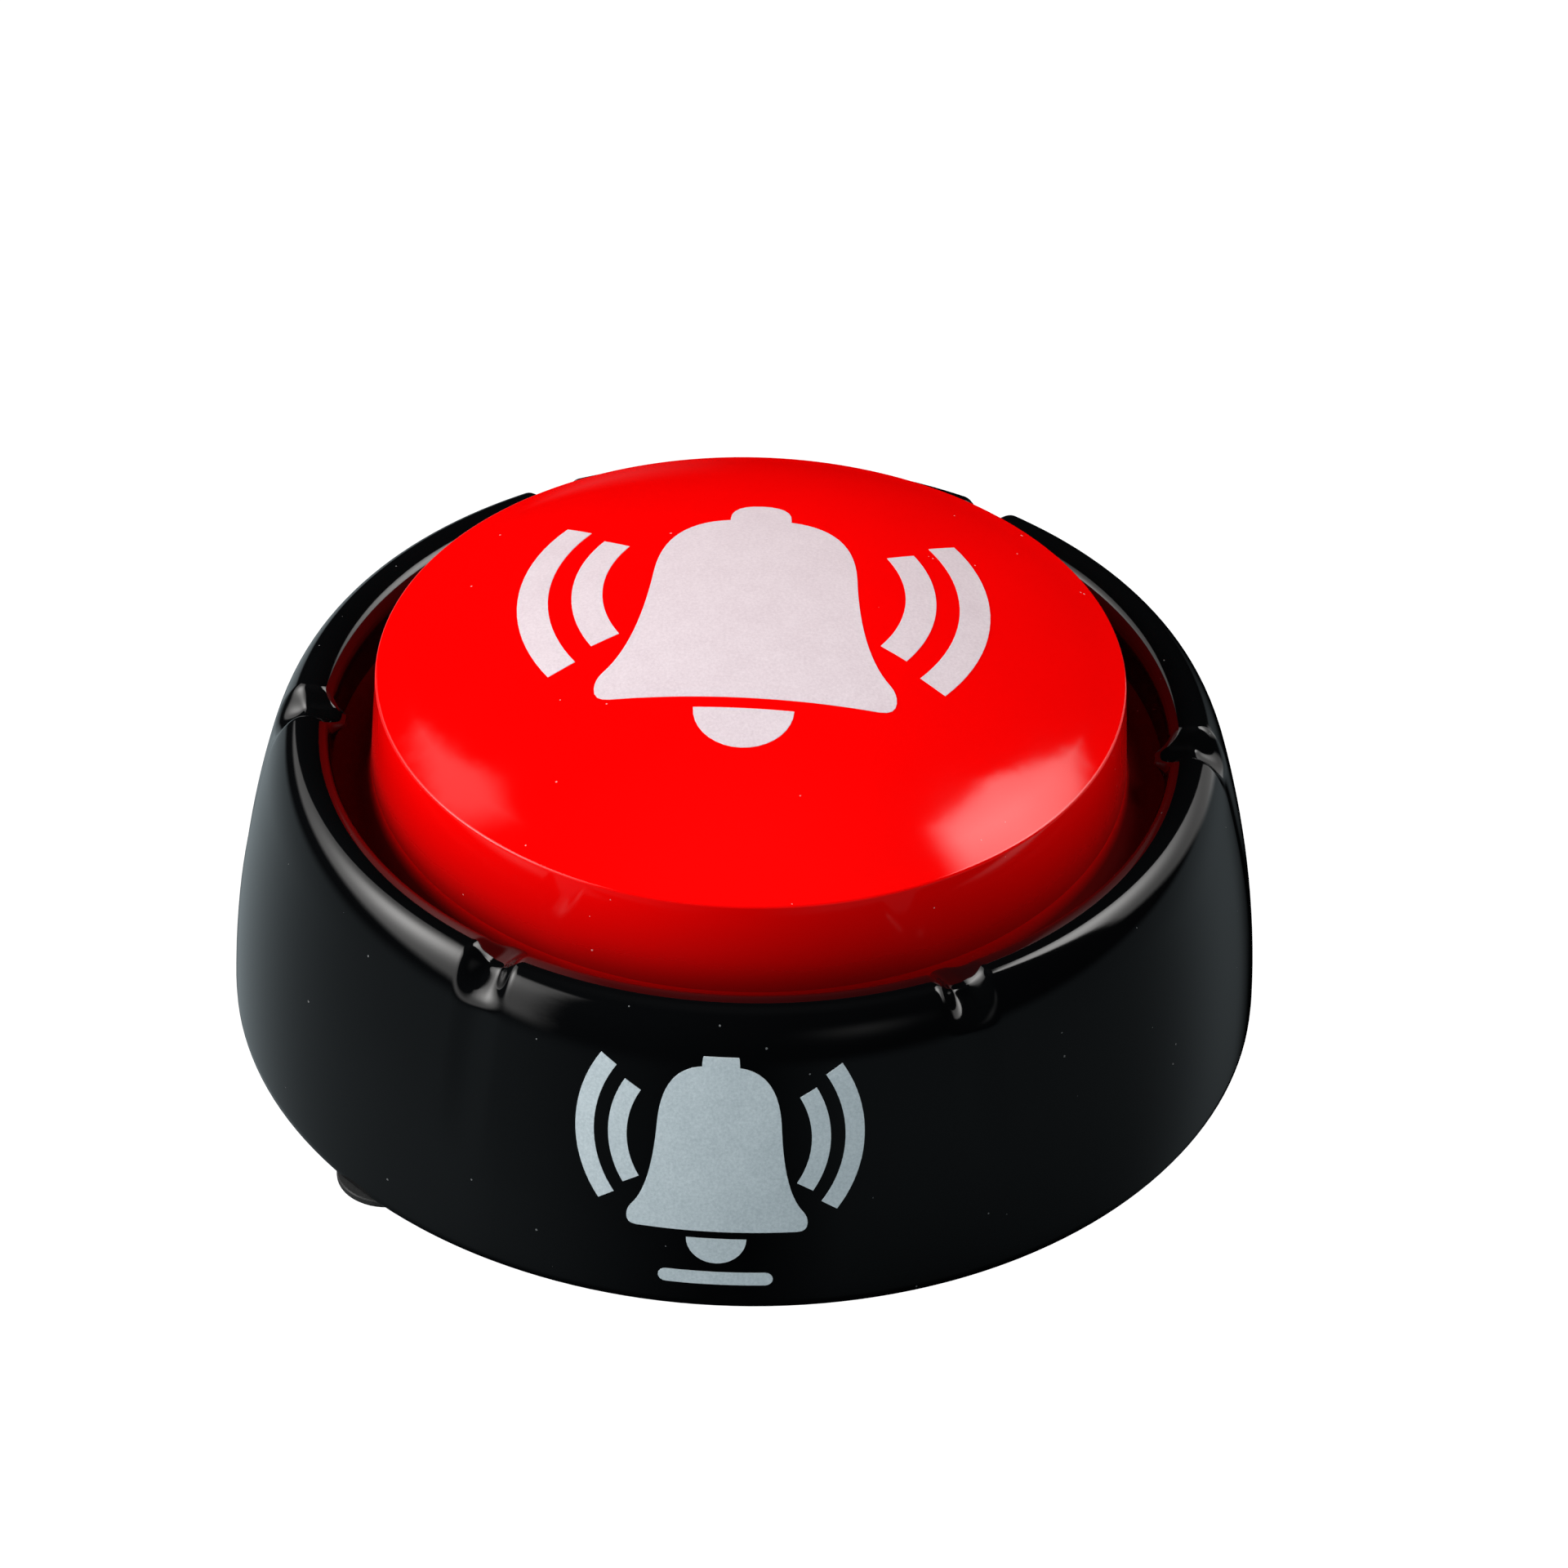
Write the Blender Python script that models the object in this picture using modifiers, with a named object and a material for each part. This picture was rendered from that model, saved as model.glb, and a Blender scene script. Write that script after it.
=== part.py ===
"""Quiz buzzer: a domed push button in a flared round housing, with its sound module and batteries inside.

Sizes are in millimetres, and the helper functions turn them into metres. Heights count from the
housing's lower edge, which its rubber feet hold FOOT_HEIGHT above the table. The origin is on the
table under the middle of the buzzer, +Z is up and -Y is the front.
"""

import math

import bmesh
import bpy
from mathutils import Matrix, Vector

MM = 0.001
GAP = 0.3  # clearance between neighbouring pieces

# Housing: a wall that leans in towards a rolled rim
BASE_RADIUS = 47.5
FOOT_HEIGHT = 1.0
HOUSING_HEIGHT = 29.35
HOUSING_WALL = 2.0
WALL_HEIGHT = 24.1  # where the wall turns into the rim
WALL_LEAN = 3.32  # how far the wall leans in over that height
LEAN_POWER = 1.92
RIM_RADIUS = 40.65  # circle along the top of the rim
RIM_ROUND = 2.1
OPENING_RADIUS = RIM_RADIUS - RIM_ROUND
SKIRT_WALL = 1.6  # inner skirt, which keeps the cap's flange in
SKIRT_BOTTOM = 23.75
NOTCH_COUNT = 6
NOTCH_ROUND = 1.85
NOTCH_DEPTH = 1.3
ROUND_STEPS = 48  # facets round the housing and the cap

# Button cap: a shallow dome on a straight side, with a flange under the skirt
TRAVEL = 4.0
CAP_RADIUS = 34.15
CAP_TAPER = 0.45
CREASE_HEIGHT = 34.83
DOME_HEIGHT = 7.8
CAP_WALL = 2.0
CREASE_ROUND = 0.3
FLANGE_RADIUS = 41.2
FLANGE_THICKNESS = 1.8
FLANGE_TOP = SKIRT_BOTTOM - GAP
FLANGE_BOTTOM = FLANGE_TOP - FLANGE_THICKNESS
ROOT_ROUND = 2.2
PLUNGER_RADIUS = 3.5

# Guides: posts under the cap's flange, sliding in tubes that the return springs stand round
GUIDE_CIRCLE = 37.5
GUIDE_ANGLES = (30, 150, 270)
GUIDE_POST_RADIUS = 2.1
GUIDE_POST_END = 8.0
TUBE_BORE = 2.5
TUBE_RADIUS = 3.4
TUBE_TOP = FLANGE_BOTTOM - TRAVEL - GAP
COLLAR_RADIUS = 5.4
COLLAR_TOP = 7.5
SPRING_RADIUS = 4.35
SPRING_WIRE = 0.4
SPRING_TURNS = 4.5

# Base plate
PLATE_RADIUS = 45.1
PLATE_THICKNESS = 2.0
FOOT_RADIUS = 4.6
FOOT_CIRCLE = 40.9
LOOSE_FOOT_CIRCLE = 43.4  # the front left foot is stuck on a little too far out
CASE_SCREW_CIRCLE = 41.0
CASE_SCREW_ANGLES = (90, 200, 340)
SCREW_BOSS_RADIUS = 4.0
SCREW_BOSS_TOP = 5.0
SCREW_POST_RADIUS = 3.2
SCREW_POST_TOP = 16.5

# Batteries lie along X, two side by side, over a door in the base plate
BATTERY_RADIUS = 5.25
BATTERY_LENGTH = 44.5
BATTERY_Z = 7.75
BATTERY_ROWS = {"front": -22.6, "back": -11.4}
SOLDER_TABS = {"front": -20.6, "back": -13.4}  # clear of the cap's flange when the button is down
SOLDER_TAB_TOP = 15.6
BOX_X = 25.0
BOX_Y = (-28.0, -6.0)
BOX_TOP = 13.4
BOX_WALL = 1.6
DOOR_MARGIN = 0.4  # how far the door reaches past the inside of the box
TAB_Y = -17.0
DOOR_SCREW = (30.4, -17.0)
DOOR_BOSS_TOP = 7.0
DOOR_HINGE_X = -BOX_X - DOOR_MARGIN - GAP / 2
CONTACT_THICKNESS = 0.4
CONTACT_X = BOX_X - 0.2 - CONTACT_THICKNESS / 2

# Speaker, facing down over the grille
SPEAKER_Y = 15.5
SPEAKER_RADIUS = 18.0
GRILLE_PITCH = 4.6
GRILLE_HOLE = 1.2

# Circuit board and its parts
BOARD_X = 25.5
BOARD_Y = (-8.0, 16.0)
BOARD_BOTTOM = 15.5
BOARD_TOP = 17.1
STANDOFFS = {"left": (-22.5, 5.0), "right": (22.5, 5.0)}
DOME_TOP = 23.3
PILL_RADIUS = 2.0

PARTS = "quiz_buzzer"
HELPERS = "cutters"


def clear_scene():
    for obj in list(bpy.data.objects):
        bpy.data.objects.remove(obj, do_unlink=True)


def new_collection(name):
    collection = bpy.data.collections.new(name)
    bpy.context.scene.collection.children.link(collection)
    return collection


def make_material(name, color, roughness, metallic=0.0):
    material = bpy.data.materials.new(name)
    material.use_nodes = True
    shader = material.node_tree.nodes["Principled BSDF"]
    shader.inputs["Base Color"].default_value = (*color, 1.0)
    shader.inputs["Roughness"].default_value = roughness
    shader.inputs["Metallic"].default_value = metallic
    return material


def finish(obj, smooth_angle=35):
    """Shades a mesh smooth, except over its sharp edges."""
    if obj.type == "MESH":
        obj.data.shade_smooth()
        obj.data.set_sharp_from_angle(angle=math.radians(smooth_angle))
    return obj


def add_object(name, data, material, parent):
    """Puts a mesh or curve in the parts collection as a named, visible sub-part."""
    obj = bpy.data.objects.new(name, data)
    bpy.data.collections[PARTS].objects.link(obj)
    if not data.materials:
        data.materials.append(material)
    obj.parent = parent
    return finish(obj)


def add_helper(name, data, parent):
    """A shape that is only cut from, or joined to, a sub-part."""
    obj = bpy.data.objects.new(name, data)
    bpy.data.collections[HELPERS].objects.link(obj)
    obj.parent = parent
    obj.hide_render = True
    obj.display_type = "WIRE"
    return obj


def boolean(target, other, operation, suffix):
    """Adds a shape to the ones that a target joins, or is cut by, in a single Boolean."""
    name = f"{target.name}_{suffix}"
    if name not in bpy.data.collections:
        group = bpy.data.collections.new(name)
        bpy.data.collections[HELPERS].children.link(group)
        modifier = target.modifiers.new(suffix, "BOOLEAN")
        modifier.operation = operation
        modifier.operand_type = "COLLECTION"
        modifier.collection = group
        modifier.solver = "EXACT"
    bpy.data.collections[name].objects.link(other)
    bpy.data.collections[HELPERS].objects.unlink(other)


def cut(target, other):
    """A target's joins all come before its first cut, because its modifiers run in that order."""
    boolean(target, other, "DIFFERENCE", "cuts")


def join(target, other):
    boolean(target, other, "UNION", "joins")


def profile_mesh(name, points, closed):
    """The edges of a profile in the XZ plane, as (radius, height) points in millimetres."""
    mesh = bpy.data.meshes.new(name)
    form = bmesh.new()
    corners = [form.verts.new((radius * MM, 0, height * MM)) for radius, height in points]
    for start, end in zip(corners, corners[1:]):
        form.edges.new((start, end))
    if closed:
        form.edges.new((corners[-1], corners[0]))
    form.to_mesh(mesh)
    form.free()
    return mesh


def turn(obj, steps):
    """Turns an object's profile round its Z axis."""
    screw = obj.modifiers.new("turn", "SCREW")
    screw.axis = "Z"
    screw.steps = steps
    screw.render_steps = steps
    screw.use_merge_vertices = True
    screw.merge_threshold = 0.00001
    screw.use_smooth_shade = True
    return obj


def on_axis(points):
    """Whether a profile starts and ends on the axis, and so needs no edge to close it."""
    return points[0][0] == 0 and points[-1][0] == 0


def turned_part(name, points, material, parent, steps=24):
    mesh = profile_mesh(name, points, not on_axis(points))
    return turn(add_object(name, mesh, material, parent), steps)


def turned_helper(name, points, parent, steps=24):
    mesh = profile_mesh(name, points, not on_axis(points))
    return turn(add_helper(name, mesh, parent), steps)


def cylinder_mesh(name, radius, low, high, sides=20):
    """A cylinder on the Z axis between two heights."""
    mesh = bpy.data.meshes.new(name)
    form = bmesh.new()
    middle = Matrix.Translation((0, 0, (low + high) / 2 * MM))
    bmesh.ops.create_cone(
        form, cap_ends=True, segments=sides, matrix=middle,
        radius1=radius * MM, radius2=radius * MM, depth=(high - low) * MM,
    )
    form.to_mesh(mesh)
    form.free()
    return mesh


def box_mesh(name, low, high):
    """A box between two opposite corners."""
    mesh = bpy.data.meshes.new(name)
    form = bmesh.new()
    low, high = Vector(low) * MM, Vector(high) * MM
    place = Matrix.Translation((low + high) / 2) @ Matrix.Diagonal((*(high - low), 1))
    bmesh.ops.create_cube(form, size=1, matrix=place)
    form.to_mesh(mesh)
    form.free()
    return mesh


def solid_mesh(obj):
    """The evaluated mesh of an object with its seams welded; the object itself is removed."""
    graph = bpy.context.evaluated_depsgraph_get()
    mesh = bpy.data.meshes.new_from_object(obj.evaluated_get(graph))
    form = bmesh.new()
    form.from_mesh(mesh)
    bmesh.ops.remove_doubles(form, verts=form.verts, dist=0.00001)
    form.to_mesh(mesh)
    form.free()
    bpy.data.objects.remove(obj, do_unlink=True)
    return mesh


def tube_curve(name, points, radius):
    """A round wire along points given in millimetres, with closed ends."""
    curve = bpy.data.curves.new(name, "CURVE")
    curve.dimensions = "3D"
    curve.bevel_depth = radius * MM
    curve.bevel_resolution = 2
    curve.use_fill_caps = True
    spline = curve.splines.new("POLY")
    spline.points.add(len(points) - 1)
    for target, point in zip(spline.points, points):
        target.co = (*(Vector(point) * MM), 1)
    return curve


def bend(start, corner, end, count=4):
    """Points on a smooth bend from start to end, both included, that heads for the corner."""
    points = []
    for i in range(count + 1):
        t = i / count
        weights = ((1 - t) ** 2, 2 * t * (1 - t), t ** 2)
        radius = sum(weight * point[0] for weight, point in zip(weights, (start, corner, end)))
        height = sum(weight * point[1] for weight, point in zip(weights, (start, corner, end)))
        points.append((radius, height))
    return points


def polar(radius, degrees):
    angle = math.radians(degrees)
    return radius * math.cos(angle), radius * math.sin(angle)


def place(obj, x, y, z=0.0):
    obj.location = (x * MM, y * MM, z * MM)
    return obj


def wall_radius(height):
    """Outer radius of the housing's wall at a height above its lower edge."""
    return BASE_RADIUS - WALL_LEAN * (height / WALL_HEIGHT) ** LEAN_POWER


# ---------------------------------------------------------------- housing


def housing_profile():
    """Down the outside from the rim, along the lower edge, and up the inside round the skirt."""
    edge_round = 0.5
    cavity_top = 25.2
    top = (RIM_RADIUS, HOUSING_HEIGHT)
    shoulder = (wall_radius(WALL_HEIGHT), WALL_HEIGHT)
    slope = LEAN_POWER * WALL_LEAN / WALL_HEIGHT
    meeting = (shoulder[0] - slope * (HOUSING_HEIGHT - WALL_HEIGHT), HOUSING_HEIGHT)
    outside = bend(top, meeting, shoulder, 5)
    outside += [(wall_radius(h), h) for h in (18.5, 12.5, 6.5, edge_round)]
    edge = [(BASE_RADIUS - edge_round, 0), (BASE_RADIUS - HOUSING_WALL, 0)]
    inside = [(wall_radius(h) - HOUSING_WALL, h) for h in (7.0, 15.0, 22.0)]
    skirt_outer = OPENING_RADIUS + SKIRT_WALL
    skirt = [
        (wall_radius(cavity_top) - HOUSING_WALL, cavity_top),
        (skirt_outer, cavity_top),
        (skirt_outer, SKIRT_BOTTOM),
        (OPENING_RADIUS, SKIRT_BOTTOM),
    ]
    lip_low = (OPENING_RADIUS, HOUSING_HEIGHT - RIM_ROUND)
    lip = bend(lip_low, (OPENING_RADIUS, HOUSING_HEIGHT), top, 3)[:-1]
    return outside + edge + inside + skirt + lip


def notch_cutter(index, parent):
    """A bent round bar that scoops one notch across the rim, from its inside over to its shoulder."""
    centre_height = HOUSING_HEIGHT - RIM_ROUND
    reach = RIM_ROUND - NOTCH_DEPTH + NOTCH_ROUND
    points = []
    for degrees in range(-5, 206, 30):
        out, up = polar(reach, degrees)
        points.append((RIM_RADIUS + out, 0, centre_height + up))
    bar = add_helper(f"notch_bar_{index}", tube_curve("notch_bar", points, NOTCH_ROUND), None)
    cutter = add_helper(f"notch_cutter_{index}", solid_mesh(bar), parent)
    cutter.rotation_euler.z = math.radians(360 / NOTCH_COUNT * index)
    return cutter


def add_screw_post(housing, degrees, parent):
    """A post on the wall for a case screw, with its pilot hole."""
    hole_radius, hole_top = 1.4, 14.0
    bottom = SCREW_BOSS_TOP + GAP
    post_mesh = cylinder_mesh("post", SCREW_POST_RADIUS, bottom, SCREW_POST_TOP)
    post = add_helper(f"screw_post_{degrees}", post_mesh, parent)
    web_reach = wall_radius(SCREW_POST_TOP) - HOUSING_WALL / 3 - CASE_SCREW_CIRCLE
    web_mesh = box_mesh("web", (0, -1.5, bottom + 0.2), (web_reach, 1.5, SCREW_POST_TOP - 0.5))
    web = add_helper(f"post_web_{degrees}", web_mesh, parent)
    hole = add_helper(f"pilot_hole_{degrees}", cylinder_mesh("hole", hole_radius, 0, hole_top, 12), parent)
    for piece in (post, web, hole):
        place(piece, *polar(CASE_SCREW_CIRCLE, degrees))
        piece.rotation_euler.z = math.radians(degrees)
    join(housing, post)
    join(housing, web)
    cut(housing, hole)


def build_housing(materials, parent):
    housing = turned_part("upper_housing", housing_profile(), materials["black"], parent, ROUND_STEPS)
    rib_width, rib_inner = 1.4, 37.0
    rib_low = (rib_inner, -rib_width / 2, SKIRT_BOTTOM + 0.4)
    rib_high = (OPENING_RADIUS + 0.6, rib_width / 2, HOUSING_HEIGHT - RIM_ROUND + 0.2)
    for index in range(NOTCH_COUNT):
        rib = add_helper(f"notch_rib_{index}", box_mesh("rib", rib_low, rib_high), parent)
        rib.rotation_euler.z = math.radians(360 / NOTCH_COUNT * index)
        join(housing, rib)
    for degrees in CASE_SCREW_ANGLES:
        add_screw_post(housing, degrees, parent)
    for index in range(NOTCH_COUNT):
        cut(housing, notch_cutter(index, parent))


# ---------------------------------------------------------------- button


def cap_profile():
    """Down the dome and the side, out and back along the flange, and up the inside."""
    sphere = (CAP_RADIUS ** 2 + DOME_HEIGHT ** 2) / (2 * DOME_HEIGHT)
    centre = CREASE_HEIGHT + DOME_HEIGHT - sphere
    inner = sphere - CAP_WALL

    def dome(radius, ball):
        return radius, centre + math.sqrt(ball ** 2 - radius ** 2)

    rings = 6
    dome_edge = CAP_RADIUS - CREASE_ROUND
    outside = [dome(dome_edge * i / rings, sphere) for i in range(rings)]
    side_top = (CAP_RADIUS, CREASE_HEIGHT - CREASE_ROUND)
    outside += bend(dome(dome_edge, sphere), (CAP_RADIUS, CREASE_HEIGHT), side_top, 3)
    root = CAP_RADIUS + CAP_TAPER
    outside += bend((root, FLANGE_TOP + ROOT_ROUND), (root, FLANGE_TOP), (root + ROOT_ROUND, FLANGE_TOP), 3)
    flange = [(FLANGE_RADIUS, FLANGE_TOP), (FLANGE_RADIUS, FLANGE_BOTTOM), (root - CAP_WALL, FLANGE_BOTTOM)]
    ceiling = [dome((CAP_RADIUS - CAP_WALL) * i / 4, inner) for i in (4, 3, 2, 1, 0)]
    return outside + flange + ceiling


def build_button(materials, parent):
    cap = turned_part("button_cap", cap_profile(), materials["red"], parent, ROUND_STEPS)
    ceiling = CREASE_HEIGHT + DOME_HEIGHT - CAP_WALL / 2
    plunger = cylinder_mesh("plunger", PLUNGER_RADIUS, DOME_TOP + GAP, ceiling, 16)
    join(cap, add_helper("plunger", plunger, parent))
    post_top = FLANGE_BOTTOM + FLANGE_THICKNESS / 2
    for degrees in GUIDE_ANGLES:
        mesh = cylinder_mesh("guide_post", GUIDE_POST_RADIUS, GUIDE_POST_END, post_top, 12)
        post = add_helper(f"guide_post_{degrees}", mesh, parent)
        place(post, *polar(GUIDE_CIRCLE, degrees))
        join(cap, post)


def coil_points(radius, end_radius, length, turns, per_turn=9):
    """Points on a coil round the Z axis that rises from 0 to its length."""
    points = []
    for i in range(round(turns * per_turn) + 1):
        share = i / (turns * per_turn)
        x, y = polar(radius + (end_radius - radius) * share, 360 * turns * share)
        points.append((x, y, length * share))
    return points


def build_return_springs(materials, parent):
    low = COLLAR_TOP + GAP + SPRING_WIRE
    length = FLANGE_BOTTOM - GAP - SPRING_WIRE - low
    points = coil_points(SPRING_RADIUS, SPRING_RADIUS, length, SPRING_TURNS)
    curve = tube_curve("return_spring", points, SPRING_WIRE)
    for number, degrees in enumerate(GUIDE_ANGLES, 1):
        spring = add_object(f"return_spring_{number}", curve, materials["spring_steel"], parent)
        place(spring, *polar(GUIDE_CIRCLE, degrees), low)


# ---------------------------------------------------------------- base plate


def add_guide_tube(plate, degrees, parent):
    """A blind tube for one guide post, with a collar that its return spring stands on."""
    floor = PLATE_THICKNESS + 0.5
    bore = [(0, floor), (TUBE_BORE, floor), (TUBE_BORE, TUBE_TOP)]
    outside = [(TUBE_RADIUS, TUBE_TOP), (TUBE_RADIUS, COLLAR_TOP), (COLLAR_RADIUS, COLLAR_TOP)]
    points = bore + outside + [(COLLAR_RADIUS, 1), (0, 1)]
    tube = turned_helper(f"guide_tube_{degrees}", points, parent, 16)
    place(tube, *polar(GUIDE_CIRCLE, degrees))
    join(plate, tube)


def add_screw_boss(plate, degrees, parent):
    mesh = cylinder_mesh("boss", SCREW_BOSS_RADIUS, 1, SCREW_BOSS_TOP)
    boss = add_helper(f"boss_{degrees}", mesh, parent)
    place(boss, *polar(CASE_SCREW_CIRCLE, degrees))
    join(plate, boss)


def cut_screw_hole(plate, degrees, parent):
    """A through hole with a deep recess below it for the head of a case screw."""
    recess_radius, recess_depth, hole_radius = 3.0, 3.0, 1.5
    points = [
        (0, SCREW_BOSS_TOP + 1), (hole_radius, SCREW_BOSS_TOP + 1), (hole_radius, recess_depth),
        (recess_radius, recess_depth), (recess_radius, -1), (0, -1),
    ]
    hole = turned_helper(f"screw_hole_{degrees}", points, parent, 16)
    place(hole, *polar(CASE_SCREW_CIRCLE, degrees))
    cut(plate, hole)


def add_standoff(plate, side, x, y, parent):
    """A post for the circuit board, with a blind hole for its screw."""
    radius, hole_radius, floor, top = 2.6, 1.3, 8.0, BOARD_BOTTOM - GAP
    points = [(0, floor), (hole_radius, floor), (hole_radius, top), (radius, top), (radius, 1), (0, 1)]
    standoff = turned_helper(f"standoff_{side}", points, parent, 14)
    place(standoff, x, y)
    join(plate, standoff)


def grille_mesh():
    """Three rings of round holes on a hexagonal grid, as one set of cutters."""
    mesh = bpy.data.meshes.new("grille")
    form = bmesh.new()
    rings = 2
    for row in range(-rings, rings + 1):
        for column in range(-rings, rings + 1):
            if abs(row + column) > rings:
                continue
            x = (column + row / 2) * GRILLE_PITCH * MM
            y = row * math.sqrt(3) / 2 * GRILLE_PITCH * MM
            spot = Matrix.Translation((x, y, PLATE_THICKNESS / 2 * MM))
            bmesh.ops.create_cone(
                form, cap_ends=True, segments=10, matrix=spot,
                radius1=GRILLE_HOLE * MM, radius2=GRILLE_HOLE * MM, depth=2 * PLATE_THICKNESS * MM,
            )
    form.to_mesh(mesh)
    form.free()
    return mesh


def add_battery_box(plate, parent):
    """A block for the batteries, and the boss that the door's screw goes into."""
    low_y, high_y = BOX_Y
    outer_low = (-BOX_X - BOX_WALL, low_y - BOX_WALL, 1)
    outer_high = (BOX_X + BOX_WALL, high_y + BOX_WALL, BOX_TOP + BOX_WALL)
    join(plate, add_helper("battery_box", box_mesh("battery_box", outer_low, outer_high), parent))
    x, y = DOOR_SCREW
    boss = add_helper("door_screw_boss", cylinder_mesh("boss", 3.4, 1, DOOR_BOSS_TOP), parent)
    place(boss, x, y)
    join(plate, boss)
    web = box_mesh("web", (BOX_X + 1, y - 1.2, 1.2), (x, y + 1.2, DOOR_BOSS_TOP - 0.5))
    join(plate, add_helper("door_boss_web", web, parent))


def cut_battery_box(plate, parent):
    """Hollows the block from below, with a recess for the door, and slots for its tab and the solder tabs."""
    low_y, high_y = BOX_Y
    inner = box_mesh("space", (-BOX_X, low_y, -1), (BOX_X, high_y, BOX_TOP))
    cut(plate, add_helper("battery_space", inner, parent))
    margin = DOOR_MARGIN + GAP
    recess_top = PLATE_THICKNESS + GAP
    recess_low = (-BOX_X - margin, low_y - margin, -1.2)
    recess_high = (BOX_X + margin, high_y + margin, recess_top)
    cut(plate, add_helper("door_recess", box_mesh("recess", recess_low, recess_high), parent))
    cut(plate, add_helper("tongue_recess", tongue_mesh(GAP, -1.4, recess_top + 0.1), parent))
    hole = add_helper("door_screw_hole", cylinder_mesh("hole", 1.8, 1, DOOR_BOSS_TOP - 1, 16), parent)
    place(hole, *DOOR_SCREW)
    cut(plate, hole)
    slot_low = (-BOX_X - BOX_WALL - 1, TAB_Y - 2.4, PLATE_THICKNESS + 0.1)
    slot = box_mesh("slot", slot_low, (0.2 - BOX_X, TAB_Y + 2.4, 5.5))
    cut(plate, add_helper("tab_slot", slot, parent))
    for row, tab_y in SOLDER_TABS.items():
        low = (CONTACT_X - 0.5, tab_y - 1.5, BOX_TOP - 1)
        high = (CONTACT_X + 0.5, tab_y + 1.5, BOX_TOP + BOX_WALL + 1)
        cut(plate, add_helper(f"contact_slot_{row}", box_mesh("slot", low, high), parent))


def tongue_mesh(extra, low, high):
    """The door's rounded tongue round its screw, grown sideways by extra."""
    x, y = DOOR_SCREW
    half = 4.2 + extra
    steps = 10
    turns = [math.pi * i / steps for i in range(steps + 1)]
    edge = [(x + half * math.sin(turn), y - half * math.cos(turn)) for turn in turns]
    edge = [(BOX_X - 1, y - half), *edge, (BOX_X - 1, y + half)]
    mesh = bpy.data.meshes.new("tongue")
    form = bmesh.new()
    face = form.faces.new([form.verts.new((*(Vector(point) * MM), low * MM)) for point in edge])
    pushed = bmesh.ops.extrude_face_region(form, geom=[face])
    moved = [item for item in pushed["geom"] if isinstance(item, bmesh.types.BMVert)]
    bmesh.ops.translate(form, verts=moved, vec=(0, 0, (high - low) * MM))
    bmesh.ops.recalc_face_normals(form, faces=form.faces)
    form.to_mesh(mesh)
    form.free()
    return mesh


def build_base_plate(materials, parent):
    edge_round = 0.3
    points = [
        (0, PLATE_THICKNESS), (PLATE_RADIUS, PLATE_THICKNESS), (PLATE_RADIUS, edge_round),
        (PLATE_RADIUS - edge_round, 0), (0, 0),
    ]
    plate = turned_part("base_plate", points, materials["black"], parent, ROUND_STEPS)
    for degrees in GUIDE_ANGLES:
        add_guide_tube(plate, degrees, parent)
    for degrees in CASE_SCREW_ANGLES:
        add_screw_boss(plate, degrees, parent)
    for side, (x, y) in STANDOFFS.items():
        add_standoff(plate, side, x, y, parent)
    ring_inner, ring_outer, ring_top = SPEAKER_RADIUS + GAP, SPEAKER_RADIUS + 1.5, 5.5
    ring_points = [(ring_outer, ring_top), (ring_outer, 1), (ring_inner, 1), (ring_inner, ring_top)]
    ring = turned_helper("speaker_ring", ring_points, parent, 32)
    place(ring, 0, SPEAKER_Y)
    join(plate, ring)
    add_battery_box(plate, parent)
    for degrees in CASE_SCREW_ANGLES:
        cut_screw_hole(plate, degrees, parent)
    grille = add_helper("grille_holes", grille_mesh(), parent)
    place(grille, 0, SPEAKER_Y)
    cut(plate, grille)
    cut_battery_box(plate, parent)


def build_feet(materials, parent):
    """Four stick-on rubber feet."""
    top, bottom, bevel = -0.2, -FOOT_HEIGHT, 0.25
    points = [
        (0, top), (FOOT_RADIUS, top), (FOOT_RADIUS, bottom + bevel),
        (FOOT_RADIUS - bevel, bottom), (0, bottom),
    ]
    spots = {"front_left": 225, "front_right": 315, "back_left": 135, "back_right": 45}
    for name, degrees in spots.items():
        foot = turned_part(f"foot_{name}", points, materials["rubber"], parent, 20)
        circle = LOOSE_FOOT_CIRCLE if name == "front_left" else FOOT_CIRCLE
        place(foot, *polar(circle, degrees))


# ---------------------------------------------------------------- fasteners


def screw_mesh(head_radius, head_height, shaft_radius, length):
    """A pan-head screw with a cross recess: its head's face at the origin, its shaft along +Z."""
    points = [
        (0, length), (shaft_radius * 0.5, length), (shaft_radius, length - 0.8), (shaft_radius, head_height),
        (head_radius, head_height), (head_radius, head_height * 0.4), (head_radius * 0.8, 0), (0, 0),
    ]
    draft = turned_helper("screw_draft", points, None, 12)
    arm, half_width, depth = head_radius * 0.6, 0.3, head_height * 0.5
    across = box_mesh("across", (-arm, -half_width, -1), (arm, half_width, depth))
    along = box_mesh("along", (-half_width, -arm, -1.1), (half_width, arm, depth - 0.05))
    arms = [add_helper("screw_recess", mesh, None) for mesh in (across, along)]
    for helper in arms:
        cut(draft, helper)
    bpy.context.view_layer.update()
    group = bpy.data.collections[f"{draft.name}_cuts"]
    mesh = solid_mesh(draft)
    for helper in arms:
        bpy.data.objects.remove(helper, do_unlink=True)
    bpy.data.collections.remove(group)
    return mesh


def build_case_screws(materials, parent):
    mesh = screw_mesh(head_radius=2.6, head_height=1.4, shaft_radius=1.1, length=11.0)
    head_face = 1.3
    for number, degrees in enumerate(CASE_SCREW_ANGLES, 1):
        screw = add_object(f"case_screw_{number}", mesh, materials["steel"], parent)
        place(screw, *polar(CASE_SCREW_CIRCLE, degrees), head_face)


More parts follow.
